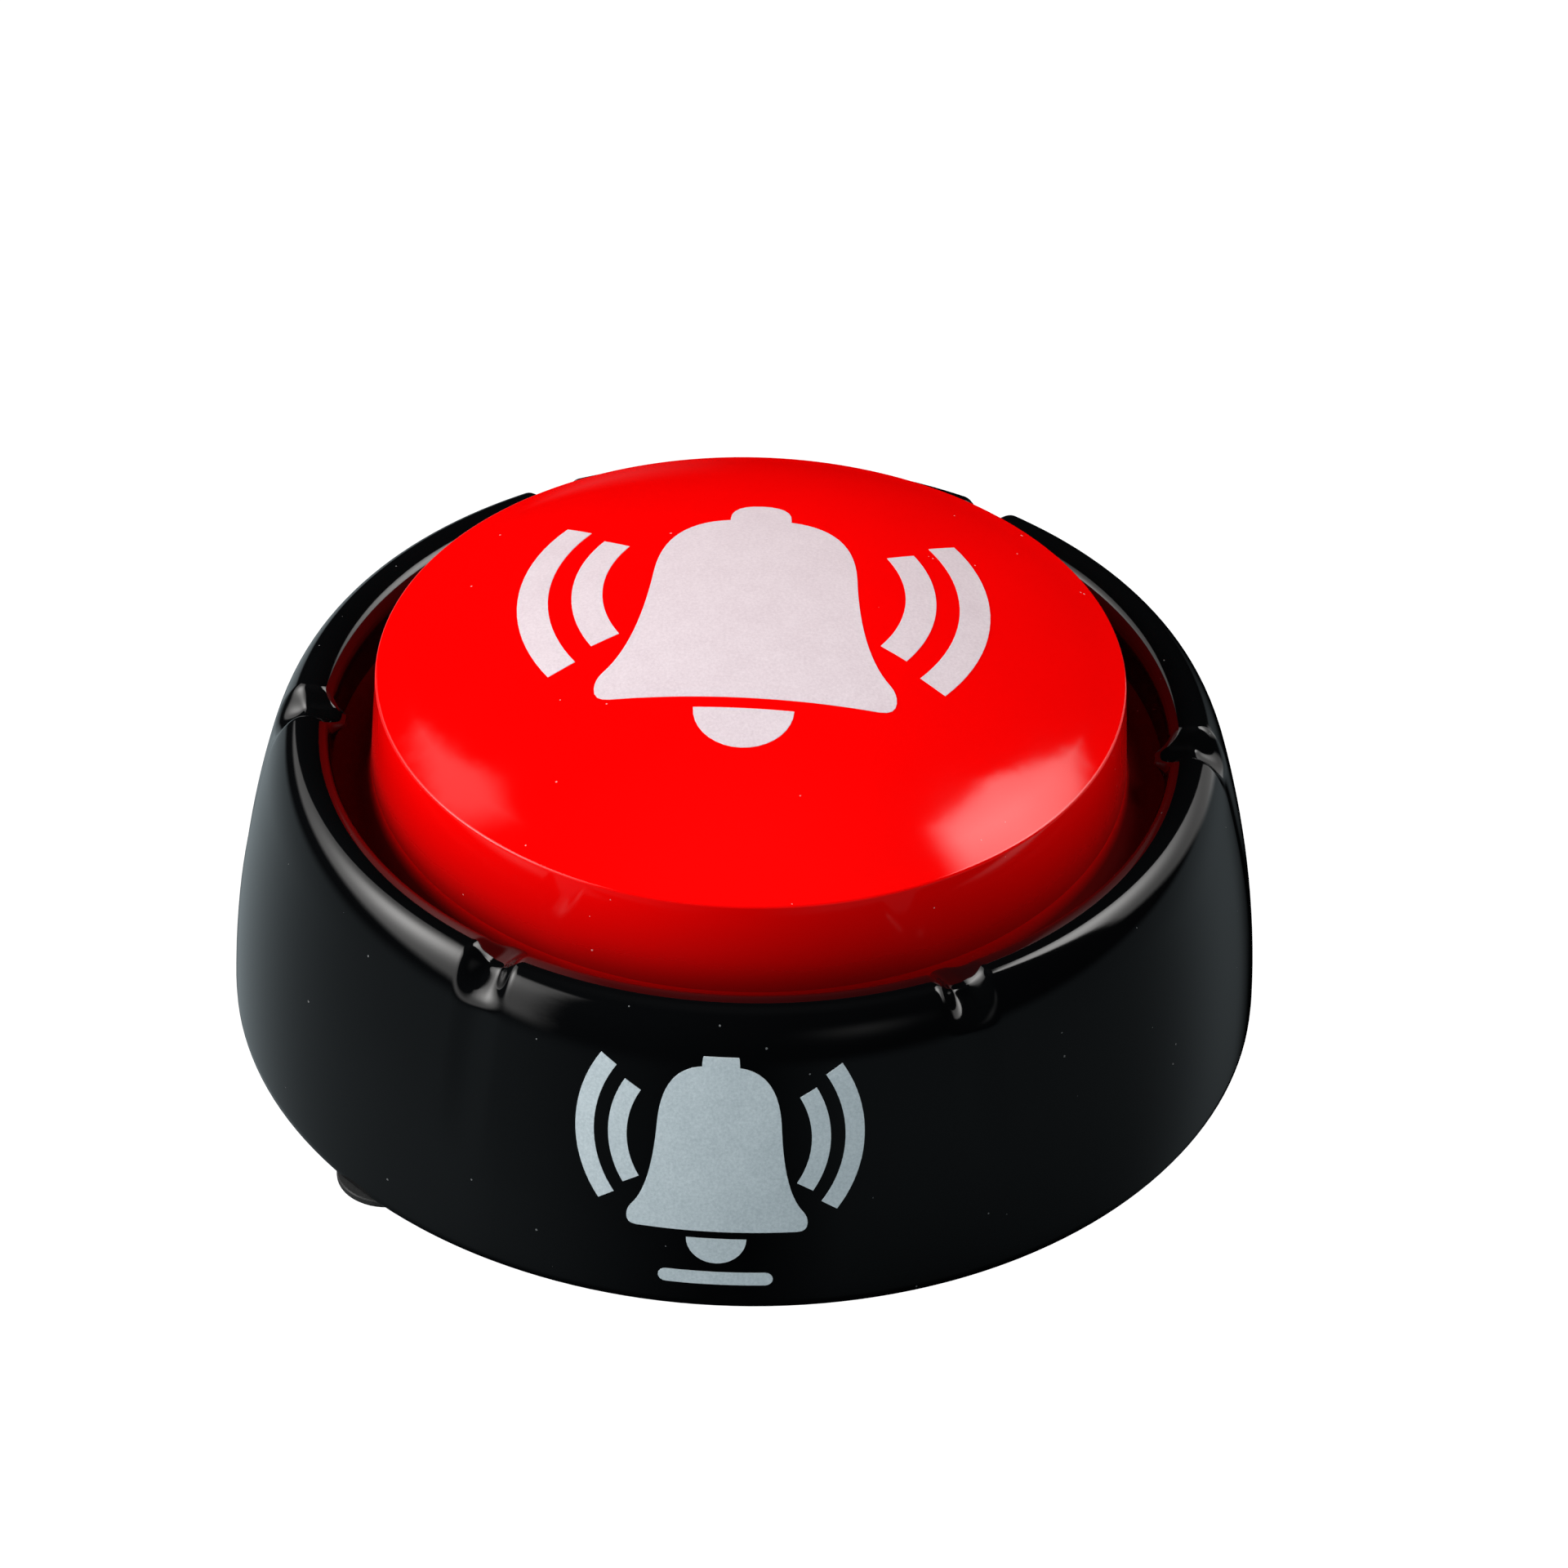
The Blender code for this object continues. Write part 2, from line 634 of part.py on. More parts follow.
def build_board_screws(materials, parent):
    mesh = screw_mesh(head_radius=2.2, head_height=1.3, shaft_radius=1.0, length=7.0)
    for side, (x, y) in STANDOFFS.items():
        screw = add_object(f"board_screw_{side}", mesh, materials["steel"], parent)
        place(screw, x, y, BOARD_TOP + GAP + 1.3)
        screw.rotation_euler.x = math.pi


# ---------------------------------------------------------------- battery door and batteries


def build_battery_door(materials, parent):
    """The door and its captive screw, on an empty that stands on the hinge line of the door's tab."""
    hinge = bpy.data.objects.new("door_hinge", None)
    bpy.data.collections[PARTS].objects.link(hinge)
    hinge.parent = parent
    place(hinge, DOOR_HINGE_X, TAB_Y)
    low_y, high_y = BOX_Y
    low = (-BOX_X - DOOR_MARGIN, low_y - DOOR_MARGIN, 0)
    high = (BOX_X + DOOR_MARGIN, high_y + DOOR_MARGIN, PLATE_THICKNESS)
    door = add_object("battery_door", box_mesh("battery_door", low, high), materials["black"], hinge)
    tongue = add_helper("door_tongue", tongue_mesh(0, 0, PLATE_THICKNESS), hinge)
    x, y = DOOR_SCREW
    recess = add_helper("door_recess_hole", cylinder_mesh("recess", 2.8, -1, 1.3, 16), hinge)
    hole = add_helper("door_hole", cylinder_mesh("hole", 1.5, 0.5, 3, 12), hinge)
    place(recess, x, y)
    place(hole, x, y)
    tab_top, tab_half = 3.3, 2.0
    riser_x = (0.2 - BOX_X, 1.4 - BOX_X)
    riser = box_mesh("riser", (riser_x[0], TAB_Y - tab_half, 1), (riser_x[1], TAB_Y + tab_half, tab_top))
    tab_high = (riser_x[1] - 0.1, TAB_Y + tab_half - 0.1, tab_top - 0.1)
    tab = box_mesh("tab", (-BOX_X - 2.6, TAB_Y - tab_half + 0.1, 2.3), tab_high)
    join(door, tongue)
    join(door, add_helper("door_riser", riser, hinge))
    join(door, add_helper("door_tab", tab, hinge))
    cut(door, recess)
    cut(door, hole)
    mesh = screw_mesh(head_radius=2.4, head_height=0.9, shaft_radius=1.1, length=5.0)
    screw = add_object("door_screw", mesh, materials["steel"], hinge)
    place(screw, x, y, 0.1)
    for piece in hinge.children:
        piece.matrix_parent_inverse = Matrix.Translation(-hinge.location)


def build_batteries(materials, parent):
    """Two cylindrical cells along X; the front one's positive nub points to -X, the back one's to +X."""
    nub_radius, nub_height = 2.75, 1.0
    body = BATTERY_LENGTH - nub_height
    points = [
        (0, BATTERY_LENGTH), (nub_radius, BATTERY_LENGTH), (nub_radius, body), (BATTERY_RADIUS - 0.5, body),
        (BATTERY_RADIUS, body - 0.5), (BATTERY_RADIUS, 0.5), (BATTERY_RADIUS - 0.5, 0), (0, 0),
    ]
    for row, y in BATTERY_ROWS.items():
        battery = turned_part(f"battery_{row}", points, materials["battery"], parent, 20)
        side = -1 if row == "front" else 1
        nub_end = CONTACT_X - CONTACT_THICKNESS / 2 - GAP
        battery.rotation_euler.y = side * math.pi / 2
        place(battery, side * (nub_end - BATTERY_LENGTH), y, BATTERY_Z)


def build_contacts(materials, parent):
    """The bridge on the left joins the cells; the plates on the right carry the leads' solder tabs."""
    half, low, high = CONTACT_THICKNESS / 2, 4.5, 12.2
    reach = 4.0
    front, back = BATTERY_ROWS["front"], BATTERY_ROWS["back"]
    bridge_low = (-CONTACT_X - half, front - reach, low)
    bridge = box_mesh("bridge", bridge_low, (-CONTACT_X + half, back + reach, high))
    add_object("contact_bridge", bridge, materials["nickel"], parent)
    for name, row in (("contact_negative", "front"), ("contact_positive", "back")):
        y, tab_y = BATTERY_ROWS[row], SOLDER_TABS[row]
        plate_mesh = box_mesh(name, (CONTACT_X - half, y - reach, low), (CONTACT_X + half, y + reach, high))
        contact = add_object(name, plate_mesh, materials["nickel"], parent)
        tab_low = (CONTACT_X - half, tab_y - 1, high - 1)
        tab = box_mesh("solder_tab", tab_low, (CONTACT_X + half, tab_y + 1, SOLDER_TAB_TOP))
        join(contact, add_helper(f"solder_tab_{name}", tab, parent))


def build_battery_springs(materials, parent):
    """A cone-shaped spring at each cell's negative end."""
    wire = 0.35
    plate_face = CONTACT_X - CONTACT_THICKNESS / 2
    space = 2 * plate_face - GAP - BATTERY_LENGTH
    length = space - 2 * GAP - 2 * wire
    curve = tube_curve("battery_spring", coil_points(3.8, 2.4, length, 2.5, 9), wire)
    for row, y in BATTERY_ROWS.items():
        side = 1 if row == "front" else -1
        spring = add_object(f"battery_spring_{row}", curve, materials["spring_steel"], parent)
        spring.rotation_euler.y = -side * math.pi / 2
        place(spring, side * (plate_face - GAP - wire), y, BATTERY_Z)


# ---------------------------------------------------------------- sound module


def build_speaker(materials, parent):
    front = PLATE_THICKNESS + GAP
    frame_points = [
        (9.0, front + 6.0), (10.2, front + 5.2), (15.6, front + 1.2), (SPEAKER_RADIUS, front + 1.2),
        (SPEAKER_RADIUS, front), (15.4, front), (9.6, front + 4.6), (3.0, front + 5.0), (3.0, front + 6.0),
    ]
    cone_points = [
        (0, front + 3.0), (3.5, front + 2.4), (5.0, front + 3.9), (9.2, front + 3.9), (13.2, front + 0.9),
        (14.2, front + 0.5), (14.2, front + 0.1), (13.0, front + 0.4), (8.8, front + 3.4), (5.2, front + 3.4),
        (3.7, front + 1.9), (0, front + 2.5),
    ]
    magnet_low, magnet_high = front + 6.0 + GAP, front + 10.5
    magnet_points = [
        (0, magnet_high), (8.0, magnet_high), (8.5, magnet_high - 0.5), (8.5, magnet_low), (0, magnet_low),
    ]
    place(turned_part("speaker_frame", frame_points, materials["steel"], parent, 28), 0, SPEAKER_Y)
    place(turned_part("speaker_cone", cone_points, materials["speaker_film"], parent, 28), 0, SPEAKER_Y)
    place(turned_part("speaker_magnet", magnet_points, materials["magnet"], parent, 24), 0, SPEAKER_Y)


def build_circuit_board(materials, parent):
    mesh = box_mesh("circuit_board", (-BOARD_X, BOARD_Y[0], BOARD_BOTTOM), (BOARD_X, BOARD_Y[1], BOARD_TOP))
    board = add_object("circuit_board", mesh, materials["board"], parent)
    for side, (x, y) in STANDOFFS.items():
        mesh = cylinder_mesh("hole", 1.4, BOARD_BOTTOM - 1, BOARD_TOP + 1, 12)
        hole = add_helper(f"board_hole_{side}", mesh, parent)
        place(hole, x, y)
        cut(board, hole)
    seat = BOARD_TOP + 0.2
    blob_points = [(0, seat + 1.6), (2.0, seat + 1.4), (3.6, seat + 0.8), (4.5, seat), (0, seat)]
    place(turned_part("sound_chip", blob_points, materials["epoxy"], parent, 20), 11.0, 9.0)
    can_points = [(0, seat + 8), (2.2, seat + 8), (2.5, seat + 7.7), (2.5, seat), (0, seat)]
    place(turned_part("capacitor", can_points, materials["capacitor"], parent, 16), -13.0, 9.0)


def build_switch(materials, parent):
    """A silicone dome on the board, with the carbon pill that it presses onto the board's contacts."""
    seat = BOARD_TOP + 0.2
    ceiling = DOME_TOP - 1.0
    points = [
        (0, DOME_TOP), (3.0, DOME_TOP), (3.2, DOME_TOP - 1.2), (5.2, seat + 0.9), (6.4, seat + 0.8),
        (6.4, seat), (4.6, seat), (4.4, seat + 0.8), (2.5, ceiling), (0, ceiling),
    ]
    turned_part("switch_dome", points, materials["silicone"], parent, 20)
    pill_top = ceiling - GAP
    pill_points = [(0, pill_top), (PILL_RADIUS, pill_top), (PILL_RADIUS, pill_top - 0.7), (0, pill_top - 0.7)]
    turned_part("contact_pill", pill_points, materials["carbon"], parent, 16)


def smooth_route(stops, per_leg=5):
    """Points on a smooth curve through the stops of a wire's route."""
    stops = [Vector(stop) for stop in stops]
    padded = [2 * stops[0] - stops[1], *stops, 2 * stops[-1] - stops[-2]]
    points = []
    for before, start, end, after in zip(padded, padded[1:], padded[2:], padded[3:]):
        for i in range(per_leg):
            t = i / per_leg
            leave = (end - before) / 2
            arrive = (after - start) / 2
            points.append(
                (2 * t ** 3 - 3 * t ** 2 + 1) * start + (t ** 3 - 2 * t ** 2 + t) * leave
                + (3 * t ** 2 - 2 * t ** 3) * end + (t ** 3 - t ** 2) * arrive
            )
    return points + [stops[-1]]


def build_wires(materials, parent):
    """Leads from the battery contacts and from the speaker to the board."""
    radius = 0.6
    on_board = BOARD_TOP + radius + GAP
    on_tab = SOLDER_TAB_TOP + radius + GAP
    front, back = SOLDER_TABS["front"], SOLDER_TABS["back"]
    routes = {
        "wire_battery_red": [
            (24.6, back, on_tab), (22.5, back + 2, 19.6), (19.5, -6.0, 19.4), (17.5, -2.5, on_board),
        ],
        "wire_battery_black": [
            (24.6, front, on_tab), (21.6, front + 3, 19.0), (15.5, -9.0, 20.0), (13.0, -4.5, on_board),
        ],
        "wire_speaker_red": [
            (-6.5, 26.6, 8.4), (-7.0, 26.0, 14.0), (-7.6, 19.5, 20.4), (-8.0, 13.0, on_board),
        ],
        "wire_speaker_black": [
            (-2.5, 27.4, 8.4), (-2.8, 26.8, 14.0), (-3.2, 20.0, 20.6), (-3.5, 13.0, on_board),
        ],
    }
    for name, stops in routes.items():
        color = "wire_red" if name.endswith("red") else "wire_black"
        add_object(name, tube_curve(name, smooth_route(stops, 4), radius), materials[color], parent)


def make_materials():
    return {
        "black": make_material("black_plastic", (0.006, 0.007, 0.008), 0.12),
        "red": make_material("red_plastic", (0.85, 0.005, 0.004), 0.15),
        "rubber": make_material("foot_rubber", (0.02, 0.02, 0.02), 0.8),
        "steel": make_material("steel", (0.55, 0.55, 0.56), 0.3, 1.0),
        "spring_steel": make_material("spring_steel", (0.62, 0.62, 0.6), 0.25, 1.0),
        "nickel": make_material("nickel_plate", (0.7, 0.68, 0.63), 0.3, 1.0),
        "magnet": make_material("magnet", (0.09, 0.09, 0.1), 0.5, 0.4),
        "speaker_film": make_material("speaker_film", (0.04, 0.04, 0.045), 0.35),
        "board": make_material("circuit_board", (0.02, 0.16, 0.06), 0.4),
        "epoxy": make_material("chip_epoxy", (0.01, 0.01, 0.01), 0.3),
        "capacitor": make_material("capacitor_sleeve", (0.02, 0.03, 0.12), 0.35),
        "silicone": make_material("silicone", (0.7, 0.7, 0.68), 0.5),
        "carbon": make_material("carbon", (0.01, 0.01, 0.01), 0.7),
        "battery": make_material("battery_wrap", (0.05, 0.12, 0.3), 0.35),
        "wire_red": make_material("wire_red", (0.6, 0.02, 0.02), 0.4),
        "wire_black": make_material("wire_black", (0.01, 0.01, 0.01), 0.4),
    }


def main():
    clear_scene()
    new_collection(PARTS)
    new_collection(HELPERS)
    materials = make_materials()
    edge_level = bpy.data.objects.new("housing_edge_level", None)
    bpy.data.collections[PARTS].objects.link(edge_level)
    edge_level.location.z = FOOT_HEIGHT * MM
    bpy.context.view_layer.update()
    for build in (
        build_housing, build_button, build_return_springs, build_base_plate, build_feet, build_case_screws,
        build_battery_door, build_batteries, build_contacts, build_battery_springs, build_speaker,
        build_circuit_board, build_board_screws, build_switch, build_wires,
    ):
        build(materials, edge_level)


main()
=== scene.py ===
"""Looks of the quiz buzzer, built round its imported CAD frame.

Lengths are in millimetres and turn into metres where a mesh is made. Heights count from the housing's
lower edge, as in the CAD source: to_world() adds the height of the feet. -Y is the front.
"""
import math

import bmesh
import bpy
from mathutils import Matrix, Vector


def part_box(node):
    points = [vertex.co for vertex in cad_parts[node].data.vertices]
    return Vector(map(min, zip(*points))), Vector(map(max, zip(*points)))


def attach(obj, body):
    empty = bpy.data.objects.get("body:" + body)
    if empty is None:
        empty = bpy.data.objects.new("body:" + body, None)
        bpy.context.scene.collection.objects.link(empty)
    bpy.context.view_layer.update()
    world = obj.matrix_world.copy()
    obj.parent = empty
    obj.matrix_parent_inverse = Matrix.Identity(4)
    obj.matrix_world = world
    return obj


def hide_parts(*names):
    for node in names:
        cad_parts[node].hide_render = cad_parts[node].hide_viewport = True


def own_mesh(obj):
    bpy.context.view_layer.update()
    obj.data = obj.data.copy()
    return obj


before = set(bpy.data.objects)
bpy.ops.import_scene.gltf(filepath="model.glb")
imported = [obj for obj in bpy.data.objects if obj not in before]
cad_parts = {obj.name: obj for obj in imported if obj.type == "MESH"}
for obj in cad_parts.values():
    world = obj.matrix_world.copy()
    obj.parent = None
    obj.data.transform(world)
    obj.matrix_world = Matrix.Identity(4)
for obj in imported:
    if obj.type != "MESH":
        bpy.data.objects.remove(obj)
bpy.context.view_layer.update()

MM = 0.001
FOOT_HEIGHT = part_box("upper_housing")[0].z / MM

# Housing
BASE_RADIUS = 47.5
HOUSING_HEIGHT = 29.35
HOUSING_WALL = 2.0
WALL_HEIGHT = 24.1
WALL_LEAN = 3.32
LEAN_POWER = 1.92
RIM_RADIUS = 40.65
RIM_ROUND = 2.4
OPENING_RADIUS = RIM_RADIUS - RIM_ROUND
SKIRT_WALL = 1.6
SKIRT_BOTTOM = 23.75
CAVITY_TOP = 25.2
NOTCH_COUNT = 6
NOTCH_DEPTH = 1.3
NOTCH_HALF_WIDTH = 2.7
NOTCH_ZONE = 3.4
NOTCH_TOP = 28.7
NOTCH_REACH = 3.4
NOTCH_FLAT = 0.15
SPOUT_TIP = (36.9, 27.2)
FLUTE_DEPTH = 0.2
FLUTE_HALF_WIDTH = 2.6
FLUTE_TOP = 21.5
FLUTE_BOTTOM = 7.0
SCREW_CIRCLE = 41.0
SCREW_ANGLES = (90, 200, 340)
SCREW_POST_BOTTOM = 5.3
SCREW_POST_TOP = 16.5
SCREW_POST_RADIUS = 3.2
PILOT_RADIUS = 1.4
PILOT_TOP = 14.0
WEB_HALF_WIDTH = 1.5

# Ink of the printed pictograms. To make room for it, the dome lies this much lower than in the CAD,
# and lower by a margin.
PRINT_THICKNESS = 0.04
PRINT_MARGIN = 0.0005

# Button cap
CAP_RADIUS = 34.15
CAP_TAPER = 0.45
CREASE_HEIGHT = 34.83
DOME_HEIGHT = 7.8
DOME_BALL = (CAP_RADIUS ** 2 + DOME_HEIGHT ** 2) / (2 * DOME_HEIGHT)
DOME_CENTRE = CREASE_HEIGHT + DOME_HEIGHT - DOME_BALL - PRINT_THICKNESS - PRINT_MARGIN
CAP_WALL = 2.0
CREASE_ROUND = 0.25
FLANGE_RADIUS = 41.2
FLANGE_TOP = 23.45
FLANGE_BOTTOM = 21.65
ROOT_ROUND = 2.2
ROOT_TOP = FLANGE_TOP + ROOT_ROUND
PLUNGER_RADIUS = 3.5
PLUNGER_END = 23.6
GUIDE_CIRCLE = 37.5
GUIDE_ANGLES = (30, 150, 270)
GUIDE_POST_RADIUS = 2.1
GUIDE_POST_END = 8.0

# Springs and switch dome
SPRING_RADIUS = 4.35
SPRING_WIRE = 0.4
SPRING_TURNS = 4.5
SPRING_LOW = 8.2
SPRING_HIGH = 20.95

# Feet
FOOT_RADIUS = 4.6
FOOT_TOP = -0.2
FOOT_SPOTS = {
    "foot_front_left": (43.4, 225), "foot_front_right": (40.9, 315),
    "foot_back_left": (40.9, 135), "foot_back_right": (40.9, 45),
}

# Printed pictograms: a bell between sound arcs
DOME_PRINT_WIDTH = 43.0
BADGE_WIDTH = 25.4
BADGE_CENTRE = 16.0
BADGE_LOW = 3.4
BADGE_BAR_HALF = 4.4
BADGE_BAR_ROUND = 0.7

# Light on matt surfaces only: the gain on the softboxes, and a fill from the front and from all round
MATT_GAIN = 1.3
FRONT_FILL = 1.7
FRONT_FILL_SPOT = ((-22, 22), 55, 24)
FILL_LIGHT = 0.02

# The softboxes, in degrees. Azimuths run from the front of the studio to its back, on the box's own side.
# "sides" and "rows" go from dark to full and from full to dark. The lower edge slopes and the upper one
# drops in front of the "lean" azimuth. The back edge leans about one elevation, and the upper back corner
# is cut off. "peak" is the brighter middle where the lamp stands: its centre, width and height.
BACK_EDGE_ELEVATION = 50.0
LEFT_BOX = {
    "sides": (37, 48, 129, 133), "rows": (2, 10, 54.5, 60),
    "lean": 94, "lower_slope": -0.18, "upper_slope": 0.2,
    "back_lean": 0.35, "corner": 118, "corner_slope": 0.5,
    "peak": ((84, 33), 23.5, 16.5), "even": 1.0, "hot": 6.6,
}
RIGHT_BOX = {
    "sides": (92, 98, 137, 139.5), "rows": (1, 9, 60, 65),
    "lean": 110, "lower_slope": 0.57, "upper_slope": 0.0,
    "back_lean": 0.16, "corner": 130, "corner_slope": 1.4,
    "peak": ((110, 50), 28, 21), "even": 0.7, "hot": 6.1,
}
FOLDS = {"scale": 9, "reach": 0.5}
CREASES = {"scale": 70, "reach": 0.8}

# The rest of the studio, in degrees: a dim panel, a haze overhead, and the pale table, which glows from
# the front round to "near" and has a brighter patch at "far"
PANEL_SPOT = ((29, 17), 10, 7)
PANEL_LIGHT = 0.2
HAZE_RISE = (60, 80)
HAZE_LIGHT = 0.025
TABLE_LEFT = {
    "near": (-5, -60), "near_light": 0.15, "far": (-150, 34), "far_light": 0.26,
    "rows": (-66, -28, -12, -3),
}
TABLE_RIGHT = {
    "near": (5, 25), "near_light": 0.085, "far": (130, 22), "far_light": 0.14,
    "rows": (-60, -18, -9, -2),
}
TABLE_ENDS = (-178, -160, 145, 165)
WHITE_LEVEL = 1.1

# Camera, fitted to the outline of the real buzzer
CAMERA_DISTANCE = 700.0
CAMERA_ELEVATION = math.radians(39.09)
CAMERA_AZIMUTH = math.radians(2.4)
CAMERA_ROLL = math.radians(1.478)
CAMERA_TARGET = (3.26, 0.0, 22.18)
CAMERA_LENS = 171.4


def to_world(x, y, height):
    """A point given in millimetres above the housing's lower edge, in metres in the row frame."""
    return Vector((x, y, height + FOOT_HEIGHT)) * MM


def smooth_step(share):
    share = min(1.0, max(0.0, share))
    return share * share * (3 - 2 * share)


def bend(start, corner, end, count):
    """Points on a smooth bend from start to end, both included, that heads for the corner."""
    points = []
    for i in range(count + 1):
        t = i / count
        weights = ((1 - t) ** 2, 2 * t * (1 - t), t ** 2)
        points.append(tuple(
            sum(weight * point[k] for weight, point in zip(weights, (start, corner, end)))
            for k in (0, 1)
        ))
    return points


def polar(radius, degrees):
    angle = math.radians(degrees)
    return radius * math.cos(angle), radius * math.sin(angle)


def spread(points, count):
    """The same polyline as count evenly spaced points."""
    lengths = [0.0]
    for a, b in zip(points, points[1:]):
        lengths.append(lengths[-1] + math.dist(a, b))
    made = []
    piece = 0
    for i in range(count):
        want = lengths[-1] * i / (count - 1)
        while piece < len(points) - 2 and lengths[piece + 1] < want:
            piece += 1
        span = lengths[piece + 1] - lengths[piece]
        share = (want - lengths[piece]) / span
        made.append(tuple(a + (b - a) * share for a, b in zip(points[piece], points[piece + 1])))
    return made


# ---------------------------------------------------------------- meshes


def add_piece(name, mesh, material, body, smooth_angle=35):
    """A finished mesh as a piece of the object that rides on a CAD body."""
    obj = bpy.data.objects.new(name, mesh)
    bpy.context.scene.collection.objects.link(obj)
    mesh.materials.clear()
    mesh.materials.append(material)
    mesh.shade_smooth()
    mesh.set_sharp_from_angle(angle=math.radians(smooth_angle))
    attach(obj, body)
    return obj


def mesh_from(form, name):
    bmesh.ops.recalc_face_normals(form, faces=form.faces)
    mesh = bpy.data.meshes.new(name)
    form.to_mesh(mesh)
    form.free()
    return mesh


def ring_mesh(name, columns, closed_profile=True):
    """A skin over columns of points that stand round an axis. An open profile starts and ends on it."""
    form = bmesh.new()
    count = len(columns[0])
    if closed_profile:
        grid = [[form.verts.new(point) for point in column] for column in columns]
    else:
        first, last = form.verts.new(columns[0][0]), form.verts.new(columns[0][-1])
        grid = [[first, *[form.verts.new(point) for point in column[1:-1]], last] for column in columns]
    spans = count if closed_profile else count - 1
    for here, there in zip(grid, grid[1:] + grid[:1]):
        for i in range(spans):
            corners = [here[i], here[(i + 1) % count], there[(i + 1) % count], there[i]]
            corners = list(dict.fromkeys(corners))
            form.faces.new(corners)
    return mesh_from(form, name)


def lathe_mesh(name, profile, steps, x=0.0, y=0.0):
    """A turned body round a vertical axis. Its profile closes on itself or on the axis."""
    open_profile = abs(profile[0][0]) < 1e-9 and abs(profile[-1][0]) < 1e-9
    columns = []
    for i in range(steps):
        angle = 2 * math.pi * i / steps
        columns.append([
            to_world(x + r * math.cos(angle), y + r * math.sin(angle), h) for r, h in profile
        ])
    return ring_mesh(name, columns, not open_profile)


def block_mesh(name, low, high, degrees=0, origin=(0, 0)):
    """A box, turned about the vertical through its own origin and then moved."""
    form = bmesh.new()
    low, high = Vector(low), Vector(high)
    size = Matrix.Diagonal((*(high - low), 1))
    turn = Matrix.Rotation(math.radians(degrees), 4, "Z")
    place = Matrix.Translation((*origin, FOOT_HEIGHT)) @ turn @ Matrix.Translation((low + high) / 2)
    bmesh.ops.create_cube(form, size=1, matrix=Matrix.Scale(MM, 4) @ place @ size)
    return mesh_from(form, name)


def combine(name, base, joins=(), cuts=(), keeps=()):
    """One closed mesh: the base with some meshes joined, then others cut away, or only their overlap kept."""
    scene = bpy.context.scene.collection
    obj = bpy.data.objects.new(name + "_draft", base)
    scene.objects.link(obj)
    used, groups = [], []
    for kind, meshes in (("UNION", joins), ("DIFFERENCE", cuts), ("INTERSECT", keeps)):
        if not meshes:
            continue
        group = bpy.data.collections.new(f"{name}_{kind}")
        for mesh in meshes:
            helper = bpy.data.objects.new(mesh.name, mesh)
            group.objects.link(helper)
            used.append(helper)
        modifier = obj.modifiers.new(kind, "BOOLEAN")
        modifier.operation = kind
        modifier.operand_type = "COLLECTION"
        modifier.collection = group
        modifier.solver = "EXACT"
        groups.append(group)
    bpy.context.view_layer.update()
    graph = bpy.context.evaluated_depsgraph_get()
    mesh = bpy.data.meshes.new_from_object(obj.evaluated_get(graph))
    mesh.name = name
    bpy.data.objects.remove(obj)
    for helper in used:
        bpy.data.objects.remove(helper)
    for group in groups:
        bpy.data.collections.remove(group)
    return mesh


# ---------------------------------------------------------------- housing


def wall_radius(height):
    return BASE_RADIUS - WALL_LEAN * (height / WALL_HEIGHT) ** LEAN_POWER


def housing_outside():
    """From the top of the rim over its shoulder and down the wall."""
    slope = LEAN_POWER * WALL_LEAN / WALL_HEIGHT
    shoulder = (wall_radius(WALL_HEIGHT), WALL_HEIGHT)
    corner = (shoulder[0] + slope * (WALL_HEIGHT - HOUSING_HEIGHT), HOUSING_HEIGHT)
    points = bend((RIM_RADIUS, HOUSING_HEIGHT), corner, shoulder, 20)
    heights = [WALL_HEIGHT - 0.5 * i for i in range(1, 8)] + [19.0 - 1.5 * i for i in range(13)]
    return points + [(wall_radius(h), h) for h in heights]


def housing_inside():
    """Round the lower edge, up the inside and down the skirt to its lower corner."""
    edge_round, inner_round = 0.5, 0.3
    edge = bend((wall_radius(edge_round), edge_round), (BASE_RADIUS, 0), (BASE_RADIUS - edge_round, 0), 4)[1:]
    inner = BASE_RADIUS - HOUSING_WALL
    edge += bend((inner + inner_round, 0), (inner, 0), (inner, inner_round), 3)
    inside = [(wall_radius(h) - HOUSING_WALL, h) for h in (5.0, 10.0, 15.0, 20.0)]
    cavity = [(wall_radius(CAVITY_TOP) - HOUSING_WALL, CAVITY_TOP), (OPENING_RADIUS + SKIRT_WALL, CAVITY_TOP)]
    skirt = [(OPENING_RADIUS + SKIRT_WALL, SKIRT_BOTTOM)]
    return edge + inside + cavity + skirt


def rim_lips():
    """The rim's inner side, and the spout that takes its place in the middle of a notch."""
    count = 22
    low = (OPENING_RADIUS, SKIRT_BOTTOM)
    top = (RIM_RADIUS, HOUSING_HEIGHT)
    arc = bend((OPENING_RADIUS, HOUSING_HEIGHT - RIM_ROUND), (OPENING_RADIUS, HOUSING_HEIGHT), top, 12)
    floor_top = (RIM_RADIUS, HOUSING_HEIGHT - NOTCH_DEPTH)
    under = bend((OPENING_RADIUS, SKIRT_BOTTOM + 0.3), (38.1, 26.4), SPOUT_TIP, 6)
    crest_inner, crest_outer = (38.6, 27.8), (38.7, 27.8)
    floor = bend(SPOUT_TIP, (37.3, 27.7), crest_inner, 4)[1:]
    floor += bend(crest_outer, (39.7, 27.85), floor_top, 4)
    return spread([low, *arc], count), spread([low, *under, *floor], count)


def scoop_share(offset, height):
    """How far the housing's outside is sunk at a point beside a notch, from 0 to 1."""
    along = (NOTCH_TOP - height) / NOTCH_REACH
    across = (abs(offset) / NOTCH_HALF_WIDTH - NOTCH_FLAT) / (1 - NOTCH_FLAT)
    return (1 - smooth_step(across)) * (1 - smooth_step(along))


